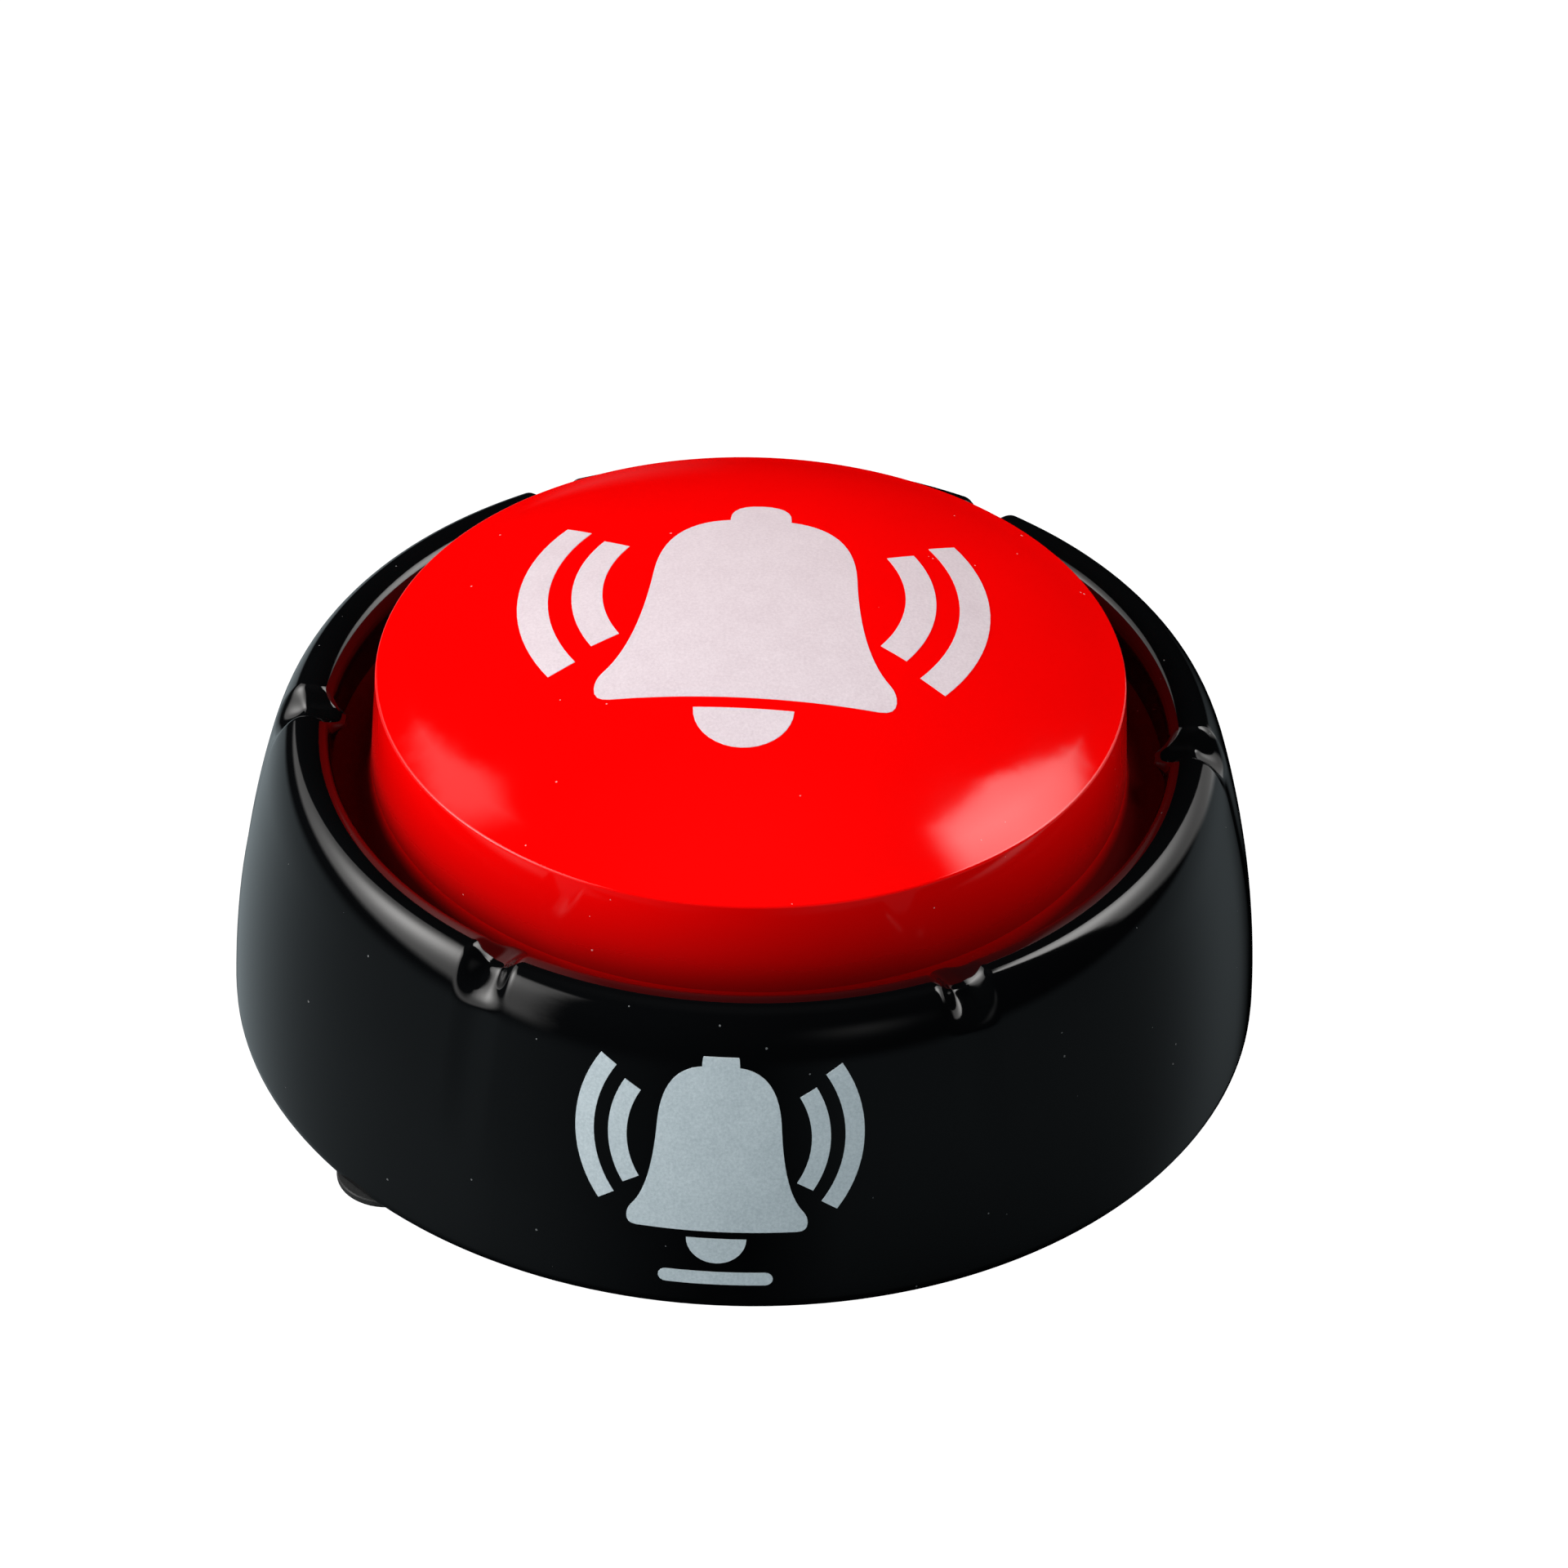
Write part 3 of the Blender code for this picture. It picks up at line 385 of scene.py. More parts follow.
def flute_share(offset, height):
    """The soft flute that fades out down the wall below a notch."""
    across = math.cos(min(1.0, abs(offset) / FLUTE_HALF_WIDTH) * math.pi / 2) ** 2
    return across * smooth_step((height - FLUTE_BOTTOM) / (FLUTE_TOP - FLUTE_BOTTOM))


def notch_offsets():
    """Column angles round the housing, close together at the notches, with the distance to the nearest."""
    fine, coarse = 38, 26
    zone = NOTCH_ZONE / RIM_RADIUS
    sector = 2 * math.pi / NOTCH_COUNT
    columns = []
    for notch in range(NOTCH_COUNT):
        middle = sector * notch
        for i in range(fine):
            angle = -zone + 2 * zone * i / fine
            columns.append((middle + angle, angle * RIM_RADIUS))
        for i in range(coarse):
            angle = zone + (sector - 2 * zone) * i / coarse
            columns.append((middle + angle, NOTCH_ZONE))
    return columns


def sunk_outside(outside, offset):
    """The outside's profile beside a notch: each point sinks square to the surface."""
    profile = []
    for i, (radius, height) in enumerate(outside):
        before, after = outside[max(0, i - 1)], outside[min(len(outside) - 1, i + 1)]
        run, rise = after[0] - before[0], after[1] - before[1]
        size = math.hypot(run, rise)
        depth = NOTCH_DEPTH * scoop_share(offset, height) + FLUTE_DEPTH * flute_share(offset, height)
        profile.append((radius + rise / size * depth, height - run / size * depth))
    return profile


def housing_mesh():
    """The closed skin of the housing, without its screw posts."""
    outside, inside = housing_outside(), housing_inside()
    lip, spout = rim_lips()
    columns = []
    for angle, offset in notch_offsets():
        profile = sunk_outside(outside, offset) + inside
        share = scoop_share(offset, HOUSING_HEIGHT)
        profile += [
            (a[0] + (b[0] - a[0]) * share, a[1] + (b[1] - a[1]) * share)
            for a, b in zip(lip[:-1], spout[:-1])
        ]
        columns.append([to_world(r * math.cos(angle), r * math.sin(angle), h) for r, h in profile])
    return ring_mesh("housing_shell", columns)


def screw_post_meshes():
    """Posts with a web to the wall, and the pilot holes in them."""
    edge = 0.3
    post = [(0, SCREW_POST_TOP), (SCREW_POST_RADIUS - edge, SCREW_POST_TOP),
            (SCREW_POST_RADIUS, SCREW_POST_TOP - edge), (SCREW_POST_RADIUS, SCREW_POST_BOTTOM),
            (0, SCREW_POST_BOTTOM)]
    pilot_bottom = 1.0
    pilot = [(0, PILOT_TOP), (PILOT_RADIUS, PILOT_TOP), (PILOT_RADIUS, pilot_bottom), (0, pilot_bottom)]
    reach = wall_radius(SCREW_POST_TOP) - HOUSING_WALL / 3 - SCREW_CIRCLE
    web_low = (0, -WEB_HALF_WIDTH, SCREW_POST_BOTTOM + 0.2)
    web_high = (reach, WEB_HALF_WIDTH, SCREW_POST_TOP - 0.5)
    posts, holes = [], []
    for degrees in SCREW_ANGLES:
        x, y = polar(SCREW_CIRCLE, degrees)
        posts.append(lathe_mesh("post", post, 32, x, y))
        posts.append(block_mesh("web", web_low, web_high, degrees, (x, y)))
        holes.append(lathe_mesh("pilot", pilot, 24, x, y))
    return posts, holes


def build_housing(materials):
    posts, holes = screw_post_meshes()
    mesh = combine("housing_shell", housing_mesh(), joins=posts, cuts=holes)
    shell = add_piece("housing_shell", mesh, materials["black_gloss"], "base")
    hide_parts("upper_housing")


# ---------------------------------------------------------------- button cap


def dome_height(radius, lift=0.0):
    """Height of the dome's surface, or of one that lies above it by the lift."""
    return DOME_CENTRE + math.sqrt((DOME_BALL + lift) ** 2 - radius ** 2)


def cap_profile():
    """From the top of the dome down its side, round the flange and back up under the ceiling."""
    dome_edge = CAP_RADIUS - CREASE_ROUND
    radii = [0.0, 0.4, 1.0, 2.0] + [4.0 + 2.0 * i for i in range(14)] + [31.5]
    outside = [(r, dome_height(r)) for r in radii]
    side_top = (CAP_RADIUS, CREASE_HEIGHT - CREASE_ROUND)
    outside += bend((dome_edge, dome_height(dome_edge)), (CAP_RADIUS, CREASE_HEIGHT), side_top, 12)
    root = CAP_RADIUS + CAP_TAPER
    rows = 6
    for i in range(1, rows):
        share = i / rows
        outside.append((CAP_RADIUS + CAP_TAPER * share, side_top[1] + (ROOT_TOP - side_top[1]) * share))
    outside += bend((root, ROOT_TOP), (root, FLANGE_TOP), (root + ROOT_ROUND, FLANGE_TOP), 10)
    edge = 0.25
    flange = [
        (FLANGE_RADIUS - edge, FLANGE_TOP), (FLANGE_RADIUS, FLANGE_TOP - edge),
        (FLANGE_RADIUS, FLANGE_BOTTOM + edge), (FLANGE_RADIUS - edge, FLANGE_BOTTOM),
        (root - CAP_WALL, FLANGE_BOTTOM),
    ]
    rings = 12
    inner_radii = [(CAP_RADIUS - CAP_WALL) * (1 - i / rings) for i in range(rings + 1)]
    ceiling = [(r, dome_height(r, -CAP_WALL)) for r in inner_radii]
    return outside + flange + ceiling


def build_cap(materials):
    ceiling = CREASE_HEIGHT + DOME_HEIGHT - CAP_WALL / 2
    edge = 0.3
    plunger = [(0, ceiling), (PLUNGER_RADIUS, ceiling), (PLUNGER_RADIUS, PLUNGER_END + edge),
               (PLUNGER_RADIUS - edge, PLUNGER_END), (0, PLUNGER_END)]
    rods = [lathe_mesh("plunger", plunger, 40)]
    post_top = (FLANGE_TOP + FLANGE_BOTTOM) / 2
    post = [(0, post_top), (GUIDE_POST_RADIUS, post_top), (GUIDE_POST_RADIUS, GUIDE_POST_END + edge),
            (GUIDE_POST_RADIUS - edge, GUIDE_POST_END), (0, GUIDE_POST_END)]
    for degrees in GUIDE_ANGLES:
        rods.append(lathe_mesh("post", post, 28, *polar(GUIDE_CIRCLE, degrees)))
    mesh = combine("cap_shell", lathe_mesh("cap_shell", cap_profile(), 200), joins=rods)
    shell = add_piece("cap_shell", mesh, materials["red_gloss"], "button")
    # The flange and the root of the side, down in the gap under the rim, take the shaded copy of the red:
    # painted shade.
    mesh.materials.append(materials["red_gap_shaded"])
    for face in mesh.polygons:
        if face.center.z < (ROOT_TOP + FOOT_HEIGHT) * MM:
            face.material_index = 1
    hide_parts("button_cap")


# ---------------------------------------------------------------- printed pictograms


def arc_points(radius, start, end, count, centre=(0.0, 0.0)):
    return [
        (centre[0] + radius * math.cos(math.radians(start + (end - start) * i / count)),
         centre[1] + radius * math.sin(math.radians(start + (end - start) * i / count)))
        for i in range(count + 1)
    ]


def arc_band(inner, outer, start, end, centre):
    """A thick arc with square ends."""
    return arc_points(outer, start, end, 20, centre) + arc_points(inner, end, start, 20, centre)


def pictogram():
    """Outlines of a bell with sound arcs at both sides, 1 wide and centred on the origin."""
    right = bend((0.0, 0.42), (0.065, 0.42), (0.065, 0.355), 6)
    right += bend((0.065, 0.345), (0.20, 0.33), (0.215, 0.13), 14)
    right += bend((0.215, 0.13), (0.23, -0.13), (0.30, -0.215), 14)[1:]
    right += bend((0.30, -0.215), (0.315, -0.235), (0.315, -0.26), 4)[1:]
    right += bend((0.315, -0.26), (0.315, -0.295), (0.28, -0.295), 4)[1:]
    body = right + [(-x, y) for x, y in reversed(right[1:])]
    clapper = arc_points(0.105, 180, 360, 18, (0.0, -0.325))
    shapes = [body, clapper]
    for inner, outer, reach in ((0.32, 0.385, 31), (0.435, 0.5, 34)):
        shapes.append(arc_band(inner, outer, -reach, reach, (0.0, 0.07)))
        shapes.append(arc_band(inner, outer, 180 - reach, 180 + reach, (0.0, 0.07)))
    return shapes


def prism(name, outline, place, depth):
    """A closed prism: place() puts the outline's points in the frame, and depth is its reach."""
    form = bmesh.new()
    front = [form.verts.new(place(x, y)) for x, y in outline]
    back = [form.verts.new(place(x, y) + depth) for x, y in outline]
    form.faces.new(front)
    form.faces.new(list(reversed(back)))
    for i in range(len(outline)):
        j = (i + 1) % len(outline)
        form.faces.new([front[j], front[i], back[i], back[j]])
    return mesh_from(form, name)


def sheet_mesh(name, rows, columns, at):
    """A thin closed sheet: at(i, j, side) gives its points on either side."""
    form = bmesh.new()
    sides = [
        [
            [form.verts.new(at(i / rows, j / columns, side)) for j in range(columns + 1)]
            for i in range(rows + 1)
        ]
        for side in (0, 1)
    ]
    for grid, flip in zip(sides, (False, True)):
        for i in range(rows):
            for j in range(columns):
                corners = [grid[i][j], grid[i][j + 1], grid[i + 1][j + 1], grid[i + 1][j]]
                form.faces.new(list(reversed(corners)) if flip else corners)
    low, high = sides
    border = [(i, 0) for i in range(rows)] + [(rows, j) for j in range(columns)]
    border += [(i, columns) for i in range(rows, 0, -1)] + [(0, j) for j in range(columns, 0, -1)]
    for (i, j), (k, m) in zip(border, border[1:] + border[:1]):
        form.faces.new([low[i][j], low[k][m], high[k][m], high[i][j]])
    return mesh_from(form, name)


def build_dome_print(materials):
    """The white print on top of the button."""
    half = DOME_PRINT_WIDTH / 2 + 1
    stencil_bottom, stencil_height = CREASE_HEIGHT - 3, 12

    def at(i, j, side):
        x, y = (2 * i - 1) * half, (2 * j - 1) * half
        lift = PRINT_THICKNESS if side else -PRINT_THICKNESS
        return to_world(x, y, dome_height(math.hypot(x, y), lift))

    def place(x, y):
        return to_world(x * DOME_PRINT_WIDTH, y * DOME_PRINT_WIDTH, stencil_bottom)

    up = Vector((0, 0, stencil_height * MM))
    for number, outline in enumerate(pictogram(), 1):
        layer = sheet_mesh("print_layer", 44, 44, at)
        mesh = combine(f"dome_print_{number}", layer, keeps=[prism("stencil", outline, place, up)])
        add_piece(f"dome_print_{number}", mesh, materials["print_white"], "button", 60)


def build_badge(materials):
    """The silver print on the front of the housing, with a plain bar under it."""
    reach = math.radians(22)
    bottom, rise = 1.2, 24.5
    stencil_front, stencil_depth = -55, 25

    def at(i, j, side):
        angle = -math.pi / 2 + (2 * i - 1) * reach
        height = bottom + rise * j
        lift = PRINT_THICKNESS if side else -PRINT_THICKNESS
        radius = wall_radius(height) + lift
        return to_world(radius * math.cos(angle), radius * math.sin(angle), height)

    def place(x, y):
        return to_world(x * BADGE_WIDTH, stencil_front, BADGE_CENTRE + y * BADGE_WIDTH)

    def place_bar(x, y):
        return to_world(x, stencil_front, BADGE_LOW + y)

    back = Vector((0, stencil_depth * MM, 0))
    bar = arc_points(BADGE_BAR_ROUND, -90, 90, 8, (BADGE_BAR_HALF, 0))
    bar += arc_points(BADGE_BAR_ROUND, 90, 270, 8, (-BADGE_BAR_HALF, 0))
    stencils = [prism("stencil", outline, place, back) for outline in pictogram()]
    stencils.append(prism("stencil", bar, place_bar, back))
    for number, stencil in enumerate(stencils, 1):
        layer = sheet_mesh("print_layer", 50, 36, at)
        mesh = combine(f"badge_print_{number}", layer, keeps=[stencil])
        add_piece(f"badge_print_{number}", mesh, materials["print_silver"], "base", 60)


# ---------------------------------------------------------------- springs, switch dome and feet


def wire_mesh(name, points, radius, sides=12):
    """A round wire along points in millimetres, with closed ends."""
    form = bmesh.new()
    rings = []
    up = Vector((0, 0, 1))
    for i, point in enumerate(points):
        before, after = points[max(0, i - 1)], points[min(len(points) - 1, i + 1)]
        ahead = (Vector(after) - Vector(before)).normalized()
        across = ahead.cross(up).normalized()
        other = across.cross(ahead)
        ring = []
        for k in range(sides):
            turn = 2 * math.pi * k / sides
            offset = (across * math.cos(turn) + other * math.sin(turn)) * radius
            x, y, z = Vector(point) + offset
            ring.append(form.verts.new(to_world(x, y, z)))
        rings.append(ring)
    for here, there in zip(rings, rings[1:]):
        for k in range(sides):
            m = (k + 1) % sides
            form.faces.new([here[k], here[m], there[m], there[k]])
    form.faces.new(list(reversed(rings[0])))
    form.faces.new(rings[-1])
    return mesh_from(form, name)


def build_return_springs(materials):
    """Coils round the guide posts. The real springs shorten with the button; these keep one length."""
    steps = 30
    travel = SPRING_HIGH - SPRING_LOW
    for number, degrees in enumerate(GUIDE_ANGLES, 1):
        x, y = polar(GUIDE_CIRCLE, degrees)
        points = []
        for i in range(round(SPRING_TURNS * steps) + 1):
            share = i / (SPRING_TURNS * steps)
            across, along = polar(SPRING_RADIUS, 360 * SPRING_TURNS * share)
            points.append((x + across, y + along, SPRING_LOW + travel * share))
        name = f"return_spring_{number}"
        coil = add_piece(f"{name}_coil", wire_mesh(name, points, SPRING_WIRE), materials["spring_wire"],
                         "base", 60)
        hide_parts(name)
        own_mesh(coil)


def build_switch_dome(materials):
    """The silicone dome on the board: a flat top, a thin bell and a thicker foot."""
    low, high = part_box("switch_dome")
    seat, top = low.z / MM - FOOT_HEIGHT, high.z / MM - FOOT_HEIGHT
    ceiling = top - 1.0
    outside = bend((3.0, top), (3.3, top), (3.3, top - 1.0), 4)
    outside += bend((3.4, top - 1.4), (3.9, top - 3.6), (5.3, seat + 0.95), 6)
    outside += bend((6.1, seat + 0.8), (6.4, seat + 0.8), (6.4, seat + 0.5), 3)
    inside = [(6.4, seat), (4.6, seat), (4.4, seat + 0.8), (2.5, ceiling), (0, ceiling)]
    mesh = lathe_mesh("switch_dome_cup", [(0, top), *outside, *inside], 48)
    cup = add_piece("switch_dome_cup", mesh, materials["silicone"], "base")
    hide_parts("switch_dome")
    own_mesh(cup)


def build_feet(materials):
    """Stick-on rubber discs with rounded edges and a shallow dish underneath."""
    bottom = -FOOT_HEIGHT
    profile = [(0, FOOT_TOP), (FOOT_RADIUS - 0.1, FOOT_TOP), (FOOT_RADIUS, FOOT_TOP - 0.1)]
    profile += bend((FOOT_RADIUS, bottom + 0.35), (FOOT_RADIUS, bottom), (FOOT_RADIUS - 0.35, bottom), 5)
    profile += [(FOOT_RADIUS - 1.0, bottom), (FOOT_RADIUS - 1.3, bottom + 0.12), (0, bottom + 0.15)]
    for name, (circle, degrees) in FOOT_SPOTS.items():
        mesh = lathe_mesh(f"{name}_pad", profile, 48, *polar(circle, degrees))
        pad = add_piece(f"{name}_pad", mesh, materials["rubber"], "base")
        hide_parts(name)


# ---------------------------------------------------------------- materials


def add_node(tree, kind, inputs=None, **settings):
    """A shader node with its settings and the values of its named inputs."""
    made = tree.nodes.new(kind)
    for key, value in settings.items():
        setattr(made, key, value)
    for key, value in (inputs or {}).items():
        made.inputs[key].default_value = value
    return made


def noise_value(tree, coordinate, scale, detail=3.0, roughness=0.5):
    """A noise pattern from 0 to 1 whose features are 1 / scale metres wide."""
    made = add_node(tree, "ShaderNodeTexNoise", {"Scale": scale, "Detail": detail, "Roughness": roughness})
    tree.links.new(coordinate, made.inputs["Vector"])
    return made.outputs["Fac"]


def map_range(tree, value, low, high, to_low, to_high, kind="LINEAR"):
    """The value moved from one range into another, and held inside it."""
    made = add_node(tree, "ShaderNodeMapRange",
                    {"From Min": low, "From Max": high, "To Min": to_low, "To Max": to_high},
                    interpolation_type=kind)
    tree.links.new(value, made.inputs["Value"])
    return made.outputs["Result"]


def calculate(tree, operation, *values):
    """A math node over numbers and other nodes' outputs."""
    made = add_node(tree, "ShaderNodeMath", operation=operation)
    for value, socket in zip(values, made.inputs):
        if isinstance(value, (int, float)):
            socket.default_value = value
        else:
            tree.links.new(value, socket)
    return made.outputs[0]


def mix_color(tree, share, first, second):
    """A colour between two: each is an RGB triple or another node's output."""
    made = add_node(tree, "ShaderNodeMix", data_type="RGBA")
    tree.links.new(share, made.inputs["Factor"])
    for value, name in ((first, "A"), (second, "B")):
        socket = [s for s in made.inputs if s.name == name and s.type == "RGBA"][0]
        if isinstance(value, tuple):
            socket.default_value = (*value, 1.0)
        else:
            tree.links.new(value, socket)
    return [s for s in made.outputs if s.type == "RGBA"][0]


def speck_mask(tree, coordinate, scale, size):
    """1 on sparse tiny specks of dust, 0 elsewhere."""
    cells = add_node(tree, "ShaderNodeTexVoronoi", {"Scale": scale})
    tree.links.new(coordinate, cells.inputs["Vector"])
    pick = add_node(tree, "ShaderNodeSeparateColor")
    tree.links.new(cells.outputs["Color"], pick.inputs["Color"])
    reach = map_range(tree, pick.outputs["Red"], 0.5, 1.0, 0.0, size)
    return calculate(tree, "LESS_THAN", cells.outputs["Distance"], reach)


def add_bump(tree, height, distance, normal=None):
    """A bump of the given depth in metres, on top of another one if its normal is given."""
    made = add_node(tree, "ShaderNodeBump", {"Strength": 1.0, "Distance": distance})
    tree.links.new(height, made.inputs["Height"])
    if normal:
        tree.links.new(normal, made.inputs["Normal"])
    return made.outputs["Normal"]


def new_material(name, constants):
    """A material's node tree, its shader with constant inputs, and its object coordinates."""
    material = bpy.data.materials.new(name)
    material.use_nodes = True
    tree = material.node_tree
    shader = tree.nodes["Principled BSDF"]
    for key, value in constants.items():
        shader.inputs[key].default_value = value
    coordinate = add_node(tree, "ShaderNodeTexCoord").outputs["Object"]
    return material, tree, shader, coordinate


def gloss_plastic(name, color, shade, roughness, dust, specular=0.5, painted_shade=None):
    """Polished moulded plastic: faint waviness, uneven polish, and specks of dust.

    The last argument paints shade: two heights in metres and a share. From the upper to the lower one the
    colour darkens to that share as painted shade, and the surface dulls.
    """
    dull_roughness = 0.3
    material, tree, shader, coordinate = new_material(name, {"IOR": 1.5, "Specular IOR Level": specular})
    cloud = noise_value(tree, coordinate, 60, 4)
    tint = mix_color(tree, map_range(tree, cloud, 0.3, 0.7, 0.0, 1.0), color, shade)
    polish = noise_value(tree, coordinate, 120, 5, 0.6)
    smudge = map_range(tree, polish, 0.35, 0.75, roughness, roughness * 1.9)
    if painted_shade:
        low, high, share = painted_shade
        place = add_node(tree, "ShaderNodeSeparateXYZ")
        tree.links.new(coordinate, place.inputs[0])
        # Painted shade: 1 at the lower height and 0 at the upper one; the colour darkens with it.
        depth = map_range(tree, place.outputs["Z"], low, high, 1.0, 0.0)
        tint = mix_color(tree, depth, tint, tuple(share * value for value in color))
        smudge = calculate(tree, "ADD", smudge, calculate(tree, "MULTIPLY", depth, dull_roughness))
    specks = speck_mask(tree, coordinate, 500, 0.06)
    tree.links.new(mix_color(tree, specks, tint, dust), shader.inputs["Base Color"])
    rough = calculate(tree, "MAXIMUM", smudge, calculate(tree, "MULTIPLY", specks, 0.7))
    tree.links.new(rough, shader.inputs["Roughness"])
    swell = add_bump(tree, noise_value(tree, coordinate, 45, 1), 0.000004)
    fine = add_bump(tree, noise_value(tree, coordinate, 2500, 2), 0.0000004, swell)
    tree.links.new(fine, shader.inputs["Normal"])
    return material


def print_ink(name, color, shade, roughness):
    """Screen-printed ink: a fine grain in colour and height from the screen's mesh."""
    material, tree, shader, coordinate = new_material(name, {"IOR": 1.45})
    grain = noise_value(tree, coordinate, 3800, 2, 0.7)
    patches = noise_value(tree, coordinate, 300, 4)
    share = map_range(tree, calculate(tree, "MULTIPLY_ADD", patches, 0.35, grain), 0.45, 0.95, 0.0, 1.0)
    tree.links.new(mix_color(tree, share, shade, color), shader.inputs["Base Color"])
    rough = map_range(tree, grain, 0.3, 0.7, roughness * 0.85, roughness * 1.15)
    tree.links.new(rough, shader.inputs["Roughness"])
    tree.links.new(add_bump(tree, grain, 0.00001), shader.inputs["Normal"])
    return material


def grained(name, color, shade, roughness, scale, bump):
    """A plain mottled finish: noise in colour, roughness and height."""
    material, tree, shader, coordinate = new_material(name, {})
    grain = noise_value(tree, coordinate, scale, 5, 0.6)
    tint = mix_color(tree, map_range(tree, grain, 0.3, 0.7, 0, 1), color, shade)
    tree.links.new(tint, shader.inputs["Base Color"])
    wear = noise_value(tree, coordinate, scale / 6, 4)
    rough = map_range(tree, wear, 0.3, 0.7, roughness * 0.8, roughness * 1.2)
    tree.links.new(rough, shader.inputs["Roughness"])
    tree.links.new(add_bump(tree, grain, bump), shader.inputs["Normal"])
    return material


def brushed(name, color, shade, roughness, stretch):
    """Drawn or turned metal: fine lines along one direction."""
    material, tree, shader, coordinate = new_material(name, {"Metallic": 1.0})
    squeeze = add_node(tree, "ShaderNodeMapping", {"Scale": stretch})
    tree.links.new(coordinate, squeeze.inputs["Vector"])
    lines = noise_value(tree, squeeze.outputs["Vector"], 400, 3)
    tint = mix_color(tree, map_range(tree, lines, 0.3, 0.7, 0, 1), color, shade)
    tree.links.new(tint, shader.inputs["Base Color"])
    rough = map_range(tree, lines, 0.3, 0.7, roughness * 0.7, roughness * 1.3)
    tree.links.new(rough, shader.inputs["Roughness"])
    tree.links.new(add_bump(tree, lines, 0.000004), shader.inputs["Normal"])
    return material


RED = (0.94, 0.0006, 0.0006)
RED_SHADE = (0.90, 0.0005, 0.0005)

# Colour, its variation, roughness, scale of the grain in 1 / metres, and its depth in metres
GRAINED = {
    "black_inner": ((0.009, 0.009, 0.01), (0.006, 0.006, 0.007), 0.35, 900, 0.000008),
    "rubber": ((0.02, 0.02, 0.02), (0.012, 0.012, 0.012), 0.7, 2500, 0.00003),
    "battery_wrap": ((0.05, 0.1, 0.25), (0.04, 0.08, 0.2), 0.35, 500, 0.000003),
    "speaker_film": ((0.05, 0.05, 0.055), (0.03, 0.03, 0.035), 0.4, 700, 0.00001),
    "ferrite": ((0.06, 0.06, 0.065), (0.035, 0.035, 0.04), 0.55, 1500, 0.00002),
    "laminate": ((0.02, 0.19, 0.075), (0.014, 0.14, 0.055), 0.35, 1200, 0.00001),
    "epoxy": ((0.011, 0.011, 0.011), (0.006, 0.006, 0.006), 0.25, 800, 0.00001),
    "sleeve": ((0.02, 0.03, 0.12), (0.014, 0.02, 0.09), 0.35, 900, 0.000005),
    "silicone": ((0.7, 0.7, 0.67), (0.6, 0.6, 0.58), 0.5, 900, 0.00001),
    "carbon": ((0.015, 0.015, 0.015), (0.008, 0.008, 0.008), 0.7, 1500, 0.00002),
    "wire_red": ((0.6, 0.02, 0.02), (0.45, 0.012, 0.012), 0.4, 800, 0.000004),
    "wire_black": ((0.015, 0.015, 0.015), (0.008, 0.008, 0.008), 0.4, 800, 0.000004),
}

# Colour, its variation, roughness, and how far the lines are squeezed along each axis
BRUSHED = {
    "screw": ((0.62, 0.62, 0.63), (0.45, 0.45, 0.47), 0.3, (1, 1, 12)),
    "spring_wire": ((0.62, 0.62, 0.6), (0.5, 0.5, 0.49), 0.22, (1, 1, 6)),
    "nickel": ((0.7, 0.68, 0.63), (0.6, 0.58, 0.53), 0.25, (1, 8, 1)),
    "speaker_steel": ((0.45, 0.45, 0.44), (0.36, 0.36, 0.36), 0.35, (1, 1, 8)),
}


def make_materials():
    materials = {
        "black_gloss": gloss_plastic("black_gloss", (0.0022, 0.0024, 0.0027), (0.0015, 0.0016, 0.0018), 0.05,
                                     (0.12, 0.12, 0.12)),
        # The cap's red, with painted shade: darker down its side below the crease, towards the gap under the
        # rim.
        "red_gloss": gloss_plastic("red_gloss", RED, RED_SHADE, 0.05, (0.75, 0.25, 0.25),
                                   painted_shade=(0.0260, 0.0354, 0.4)),
        # A shaded copy of the red for the flange and its root in the gap: painted shade, darkened to 0.12 of
        # the colour, with little specular.
        "red_gap_shaded": gloss_plastic("red_gap_shaded", RED, RED_SHADE, 0.4, (0.5, 0.1, 0.1), specular=0.05,
                                  painted_shade=(0.0252, 0.0272, 0.12)),
        "print_white": print_ink("print_white", (0.725, 0.62, 0.65), (0.61, 0.50, 0.535), 0.5),
        "print_silver": print_ink("print_silver", (0.63, 0.68, 0.70), (0.46, 0.515, 0.54), 0.5),
    }
    for name, look in GRAINED.items():
        materials[name] = grained(name, *look)
    for name, look in BRUSHED.items():
        materials[name] = brushed(name, *look)
    return materials


NODE_MATERIALS = {
    "base_plate": "black_inner", "battery_door": "black_inner",
    "case_screw_1": "screw", "case_screw_2": "screw", "case_screw_3": "screw", "door_screw": "screw",
    "board_screw_left": "screw", "board_screw_right": "screw",
    "battery_spring_front": "spring_wire", "battery_spring_back": "spring_wire",
    "contact_bridge": "nickel", "contact_negative": "nickel", "contact_positive": "nickel",
    "battery_front": "battery_wrap", "battery_back": "battery_wrap",
    "speaker_frame": "speaker_steel", "speaker_cone": "speaker_film", "speaker_magnet": "ferrite",
    "circuit_board": "laminate", "sound_chip": "epoxy", "capacitor": "sleeve", "contact_pill": "carbon",
    "wire_battery_red": "wire_red", "wire_speaker_red": "wire_red",
    "wire_battery_black": "wire_black", "wire_speaker_black": "wire_black",
}


def dress_cad_nodes(materials):
    """Gives every CAD node that stays in view its procedural material."""
    for name, material in NODE_MATERIALS.items():
        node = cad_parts[name]
        for index in range(len(node.material_slots)):
            node.material_slots[index].material = materials[material]


# ---------------------------------------------------------------- stage, light and camera


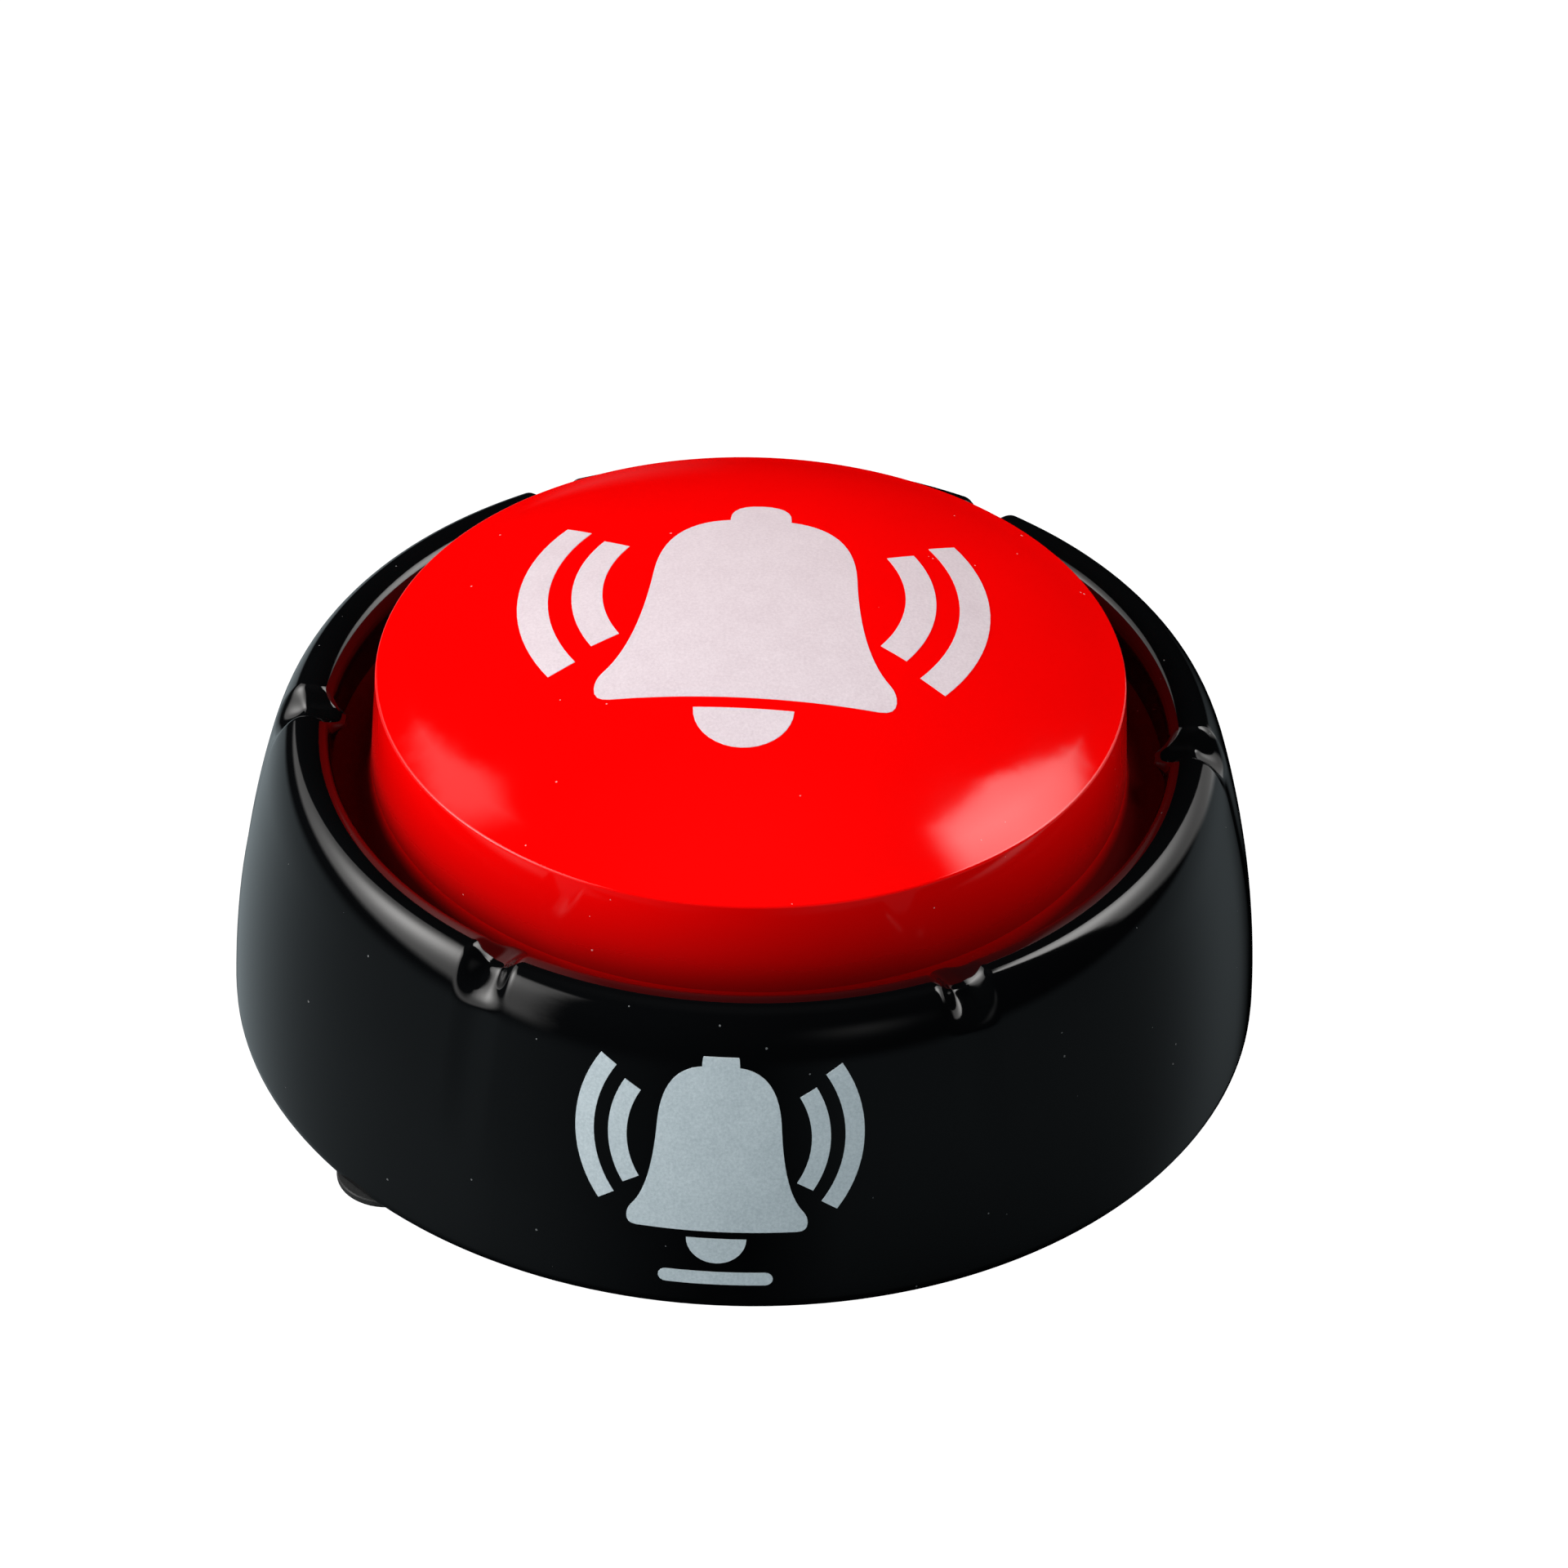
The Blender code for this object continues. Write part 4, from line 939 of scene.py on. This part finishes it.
def build_floor():
    """A plain white floor that shows to the camera only, and only from above."""
    form = bmesh.new()
    floor_reach = 3
    bmesh.ops.create_grid(form, x_segments=1, y_segments=1, size=floor_reach)
    mesh = mesh_from(form, "floor")
    material = bpy.data.materials.new("floor_white")
    material.use_nodes = True
    tree = material.node_tree
    tree.nodes.clear()
    out = add_node(tree, "ShaderNodeOutputMaterial")
    white = add_node(tree, "ShaderNodeEmission", {"Color": (1, 1, 1, 1), "Strength": WHITE_LEVEL})
    clear = add_node(tree, "ShaderNodeBsdfTransparent")
    mix = add_node(tree, "ShaderNodeMixShader")
    tree.links.new(add_node(tree, "ShaderNodeNewGeometry").outputs["Backfacing"], mix.inputs["Fac"])
    tree.links.new(white.outputs[0], mix.inputs[1])
    tree.links.new(clear.outputs[0], mix.inputs[2])
    tree.links.new(mix.outputs[0], out.inputs["Surface"])
    floor = bpy.data.objects.new("floor", mesh)
    bpy.context.scene.collection.objects.link(floor)
    mesh.materials.append(material)
    floor.visible_diffuse = False
    floor.visible_glossy = False
    floor.visible_transmission = False
    floor.visible_shadow = False


def smooth_window(tree, value, low, low_full, high_full, high):
    """1 between the two full values, with soft ends towards low and high."""
    rise = map_range(tree, value, low, low_full, 0.0, 1.0, "SMOOTHSTEP")
    fall = map_range(tree, value, high_full, high, 1.0, 0.0, "SMOOTHSTEP")
    return calculate(tree, "MULTIPLY", rise, fall)


def hot_spot(tree, azimuth, elevation, centre, width, height):
    """A soft round peak of 1 at its centre, in degrees."""
    across = calculate(tree, "DIVIDE", calculate(tree, "SUBTRACT", azimuth, centre[0]), width)
    along = calculate(tree, "DIVIDE", calculate(tree, "SUBTRACT", elevation, centre[1]), height)
    squares = calculate(tree, "ADD", calculate(tree, "MULTIPLY", across, across),
                        calculate(tree, "MULTIPLY", along, along))
    return calculate(tree, "POWER", math.exp(-1), squares)


def studio_angles(tree):
    """Azimuth (0 at the front, towards +X) and elevation of a direction, in degrees, and the direction."""
    direction = add_node(tree, "ShaderNodeTexCoord").outputs["Generated"]
    split = add_node(tree, "ShaderNodeSeparateXYZ")
    tree.links.new(direction, split.inputs[0])
    ahead = calculate(tree, "MULTIPLY", split.outputs["Y"], -1.0)
    turn = calculate(tree, "ARCTAN2", split.outputs["X"], ahead)
    rise = calculate(tree, "ARCSINE", split.outputs["Z"])
    return calculate(tree, "DEGREES", turn), calculate(tree, "DEGREES", rise), direction


def softbox(tree, azimuth, elevation, box):
    """Light from a softbox. The azimuth runs towards the back of the studio."""
    front, front_full, back_full, back = box["sides"]
    low, low_full, high_full, high = box["rows"]
    away = calculate(tree, "SUBTRACT", azimuth, box["lean"])
    raised = calculate(tree, "MULTIPLY_ADD", away, box["lower_slope"], elevation)
    ahead = calculate(tree, "MAXIMUM", calculate(tree, "MULTIPLY", away, -1.0), 0.0)
    lowered = calculate(tree, "MULTIPLY_ADD", ahead, box["upper_slope"], elevation)
    behind = calculate(tree, "MAXIMUM", calculate(tree, "SUBTRACT", azimuth, box["corner"]), 0.0)
    lowered = calculate(tree, "MULTIPLY_ADD", behind, box["corner_slope"], lowered)
    above = calculate(tree, "SUBTRACT", elevation, BACK_EDGE_ELEVATION)
    shifted = calculate(tree, "MULTIPLY_ADD", above, box["back_lean"], azimuth)
    columns = calculate(tree, "MULTIPLY", map_range(tree, azimuth, front, front_full, 0.0, 1.0, "SMOOTHSTEP"),
                        map_range(tree, shifted, back_full, back, 1.0, 0.0, "SMOOTHSTEP"))
    rows = calculate(tree, "MULTIPLY", map_range(tree, raised, low, low_full, 0.0, 1.0, "SMOOTHSTEP"),
                     map_range(tree, lowered, high_full, high, 1.0, 0.0, "SMOOTHSTEP"))
    spot = hot_spot(tree, azimuth, elevation, *box["peak"])
    strength = calculate(tree, "MULTIPLY_ADD", spot, box["hot"], box["even"])
    return calculate(tree, "MULTIPLY", calculate(tree, "MULTIPLY", columns, rows), strength)


def waves(tree, direction, look):
    """A shift in degrees, either way, that wanders with the direction."""
    pattern = noise_value(tree, direction, look["scale"], 3)
    return map_range(tree, pattern, 0.3, 0.7, -look["reach"], look["reach"])


def lamp_light(tree, azimuth, elevation, direction):
    """Two softboxes with folds in their cloth, a dim panel, and a faint haze overhead."""
    shift = calculate(tree, "ADD", waves(tree, direction, FOLDS), waves(tree, direction, CREASES))
    folded = calculate(tree, "ADD", azimuth, shift)
    left = softbox(tree, calculate(tree, "MULTIPLY", folded, -1.0), elevation, LEFT_BOX)
    right = softbox(tree, folded, elevation, RIGHT_BOX)
    panel = calculate(tree, "MULTIPLY", hot_spot(tree, azimuth, elevation, *PANEL_SPOT), PANEL_LIGHT)
    haze = map_range(tree, elevation, *HAZE_RISE, 0.0, HAZE_LIGHT)
    return calculate(tree, "ADD", calculate(tree, "ADD", left, right), calculate(tree, "ADD", panel, haze))


def table_side(tree, azimuth, elevation, side):
    """The glow of one side of the table."""
    centre, width = side["far"]
    near = map_range(tree, azimuth, *side["near"], 0.0, side["near_light"])
    patch = hot_spot(tree, azimuth, 0.0, (centre, 0), width, 1)
    glow = calculate(tree, "MULTIPLY_ADD", patch, side["far_light"], near)
    return calculate(tree, "MULTIPLY", glow, smooth_window(tree, elevation, *side["rows"]))


def table_light(tree, azimuth, elevation):
    """The glow of the pale table from below."""
    sides = [table_side(tree, azimuth, elevation, side) for side in (TABLE_LEFT, TABLE_RIGHT)]
    return calculate(tree, "MULTIPLY", calculate(tree, "ADD", *sides),
                     smooth_window(tree, azimuth, *TABLE_ENDS))


def build_world():
    """White to the camera; the studio's lights to everything else.

    Only mirrored rays see the lamps as they are. Matt surfaces get the gain and the two fills as well.
    """
    world = bpy.data.worlds.new("studio")
    bpy.context.scene.world = world
    world.use_nodes = True
    tree = world.node_tree
    tree.nodes.clear()
    out = add_node(tree, "ShaderNodeOutputWorld")
    path = add_node(tree, "ShaderNodeLightPath")
    azimuth, elevation, direction = studio_angles(tree)
    mirrored = path.outputs["Is Glossy Ray"]
    lamps = calculate(tree, "MULTIPLY", lamp_light(tree, azimuth, elevation, direction),
                      map_range(tree, mirrored, 0, 1, MATT_GAIN, 1.0))
    front = calculate(tree, "MULTIPLY", hot_spot(tree, azimuth, elevation, *FRONT_FILL_SPOT), FRONT_FILL)
    fill = calculate(tree, "MULTIPLY", calculate(tree, "ADD", front, FILL_LIGHT),
                     map_range(tree, mirrored, 0, 1, 1.0, 0.0))
    warm = add_node(tree, "ShaderNodeBackground", {"Color": (1.0, 0.985, 0.97, 1)})
    tree.links.new(lamps, warm.inputs["Strength"])
    cool = add_node(tree, "ShaderNodeBackground", {"Color": (0.80, 0.94, 1.0, 1)})
    below = calculate(tree, "ADD", table_light(tree, azimuth, elevation), fill)
    tree.links.new(below, cool.inputs["Strength"])
    both = add_node(tree, "ShaderNodeAddShader")
    tree.links.new(warm.outputs[0], both.inputs[0])
    tree.links.new(cool.outputs[0], both.inputs[1])
    white = add_node(tree, "ShaderNodeBackground", {"Color": (1, 1, 1, 1), "Strength": WHITE_LEVEL})
    mix = add_node(tree, "ShaderNodeMixShader")
    tree.links.new(path.outputs["Is Camera Ray"], mix.inputs["Fac"])
    tree.links.new(both.outputs[0], mix.inputs[1])
    tree.links.new(white.outputs[0], mix.inputs[2])
    tree.links.new(mix.outputs[0], out.inputs["Surface"])


def build_camera():
    """A long lens that looks down on the buzzer, rolled a little."""
    turned = Matrix.Rotation(CAMERA_AZIMUTH, 4, "Z")
    target = turned @ Vector(CAMERA_TARGET)
    back = turned @ Vector((0, -math.cos(CAMERA_ELEVATION), math.sin(CAMERA_ELEVATION)))
    eye = back * CAMERA_DISTANCE
    ahead = (target - eye).normalized()
    right = ahead.cross(Vector((0, 0, 1))).normalized()
    up = right.cross(ahead)
    rolled_right = math.cos(CAMERA_ROLL) * right + math.sin(CAMERA_ROLL) * up
    rolled_up = math.cos(CAMERA_ROLL) * up - math.sin(CAMERA_ROLL) * right
    data = bpy.data.cameras.new("camera")
    data.lens = CAMERA_LENS
    data.sensor_width = 36.0
    data.clip_start, data.clip_end = 0.05, 20
    camera = bpy.data.objects.new("camera", data)
    bpy.context.scene.collection.objects.link(camera)
    axes = Matrix((rolled_right, rolled_up, -ahead)).transposed().to_4x4()
    camera.matrix_world = Matrix.Translation(to_world(*eye)) @ axes
    bpy.context.scene.camera = camera


def main():
    materials = make_materials()
    build_housing(materials)
    build_cap(materials)
    build_dome_print(materials)
    build_badge(materials)
    build_return_springs(materials)
    build_switch_dome(materials)
    build_feet(materials)
    dress_cad_nodes(materials)
    build_floor()
    build_world()
    build_camera()
    bpy.context.scene.view_settings.view_transform = "Standard"


main()
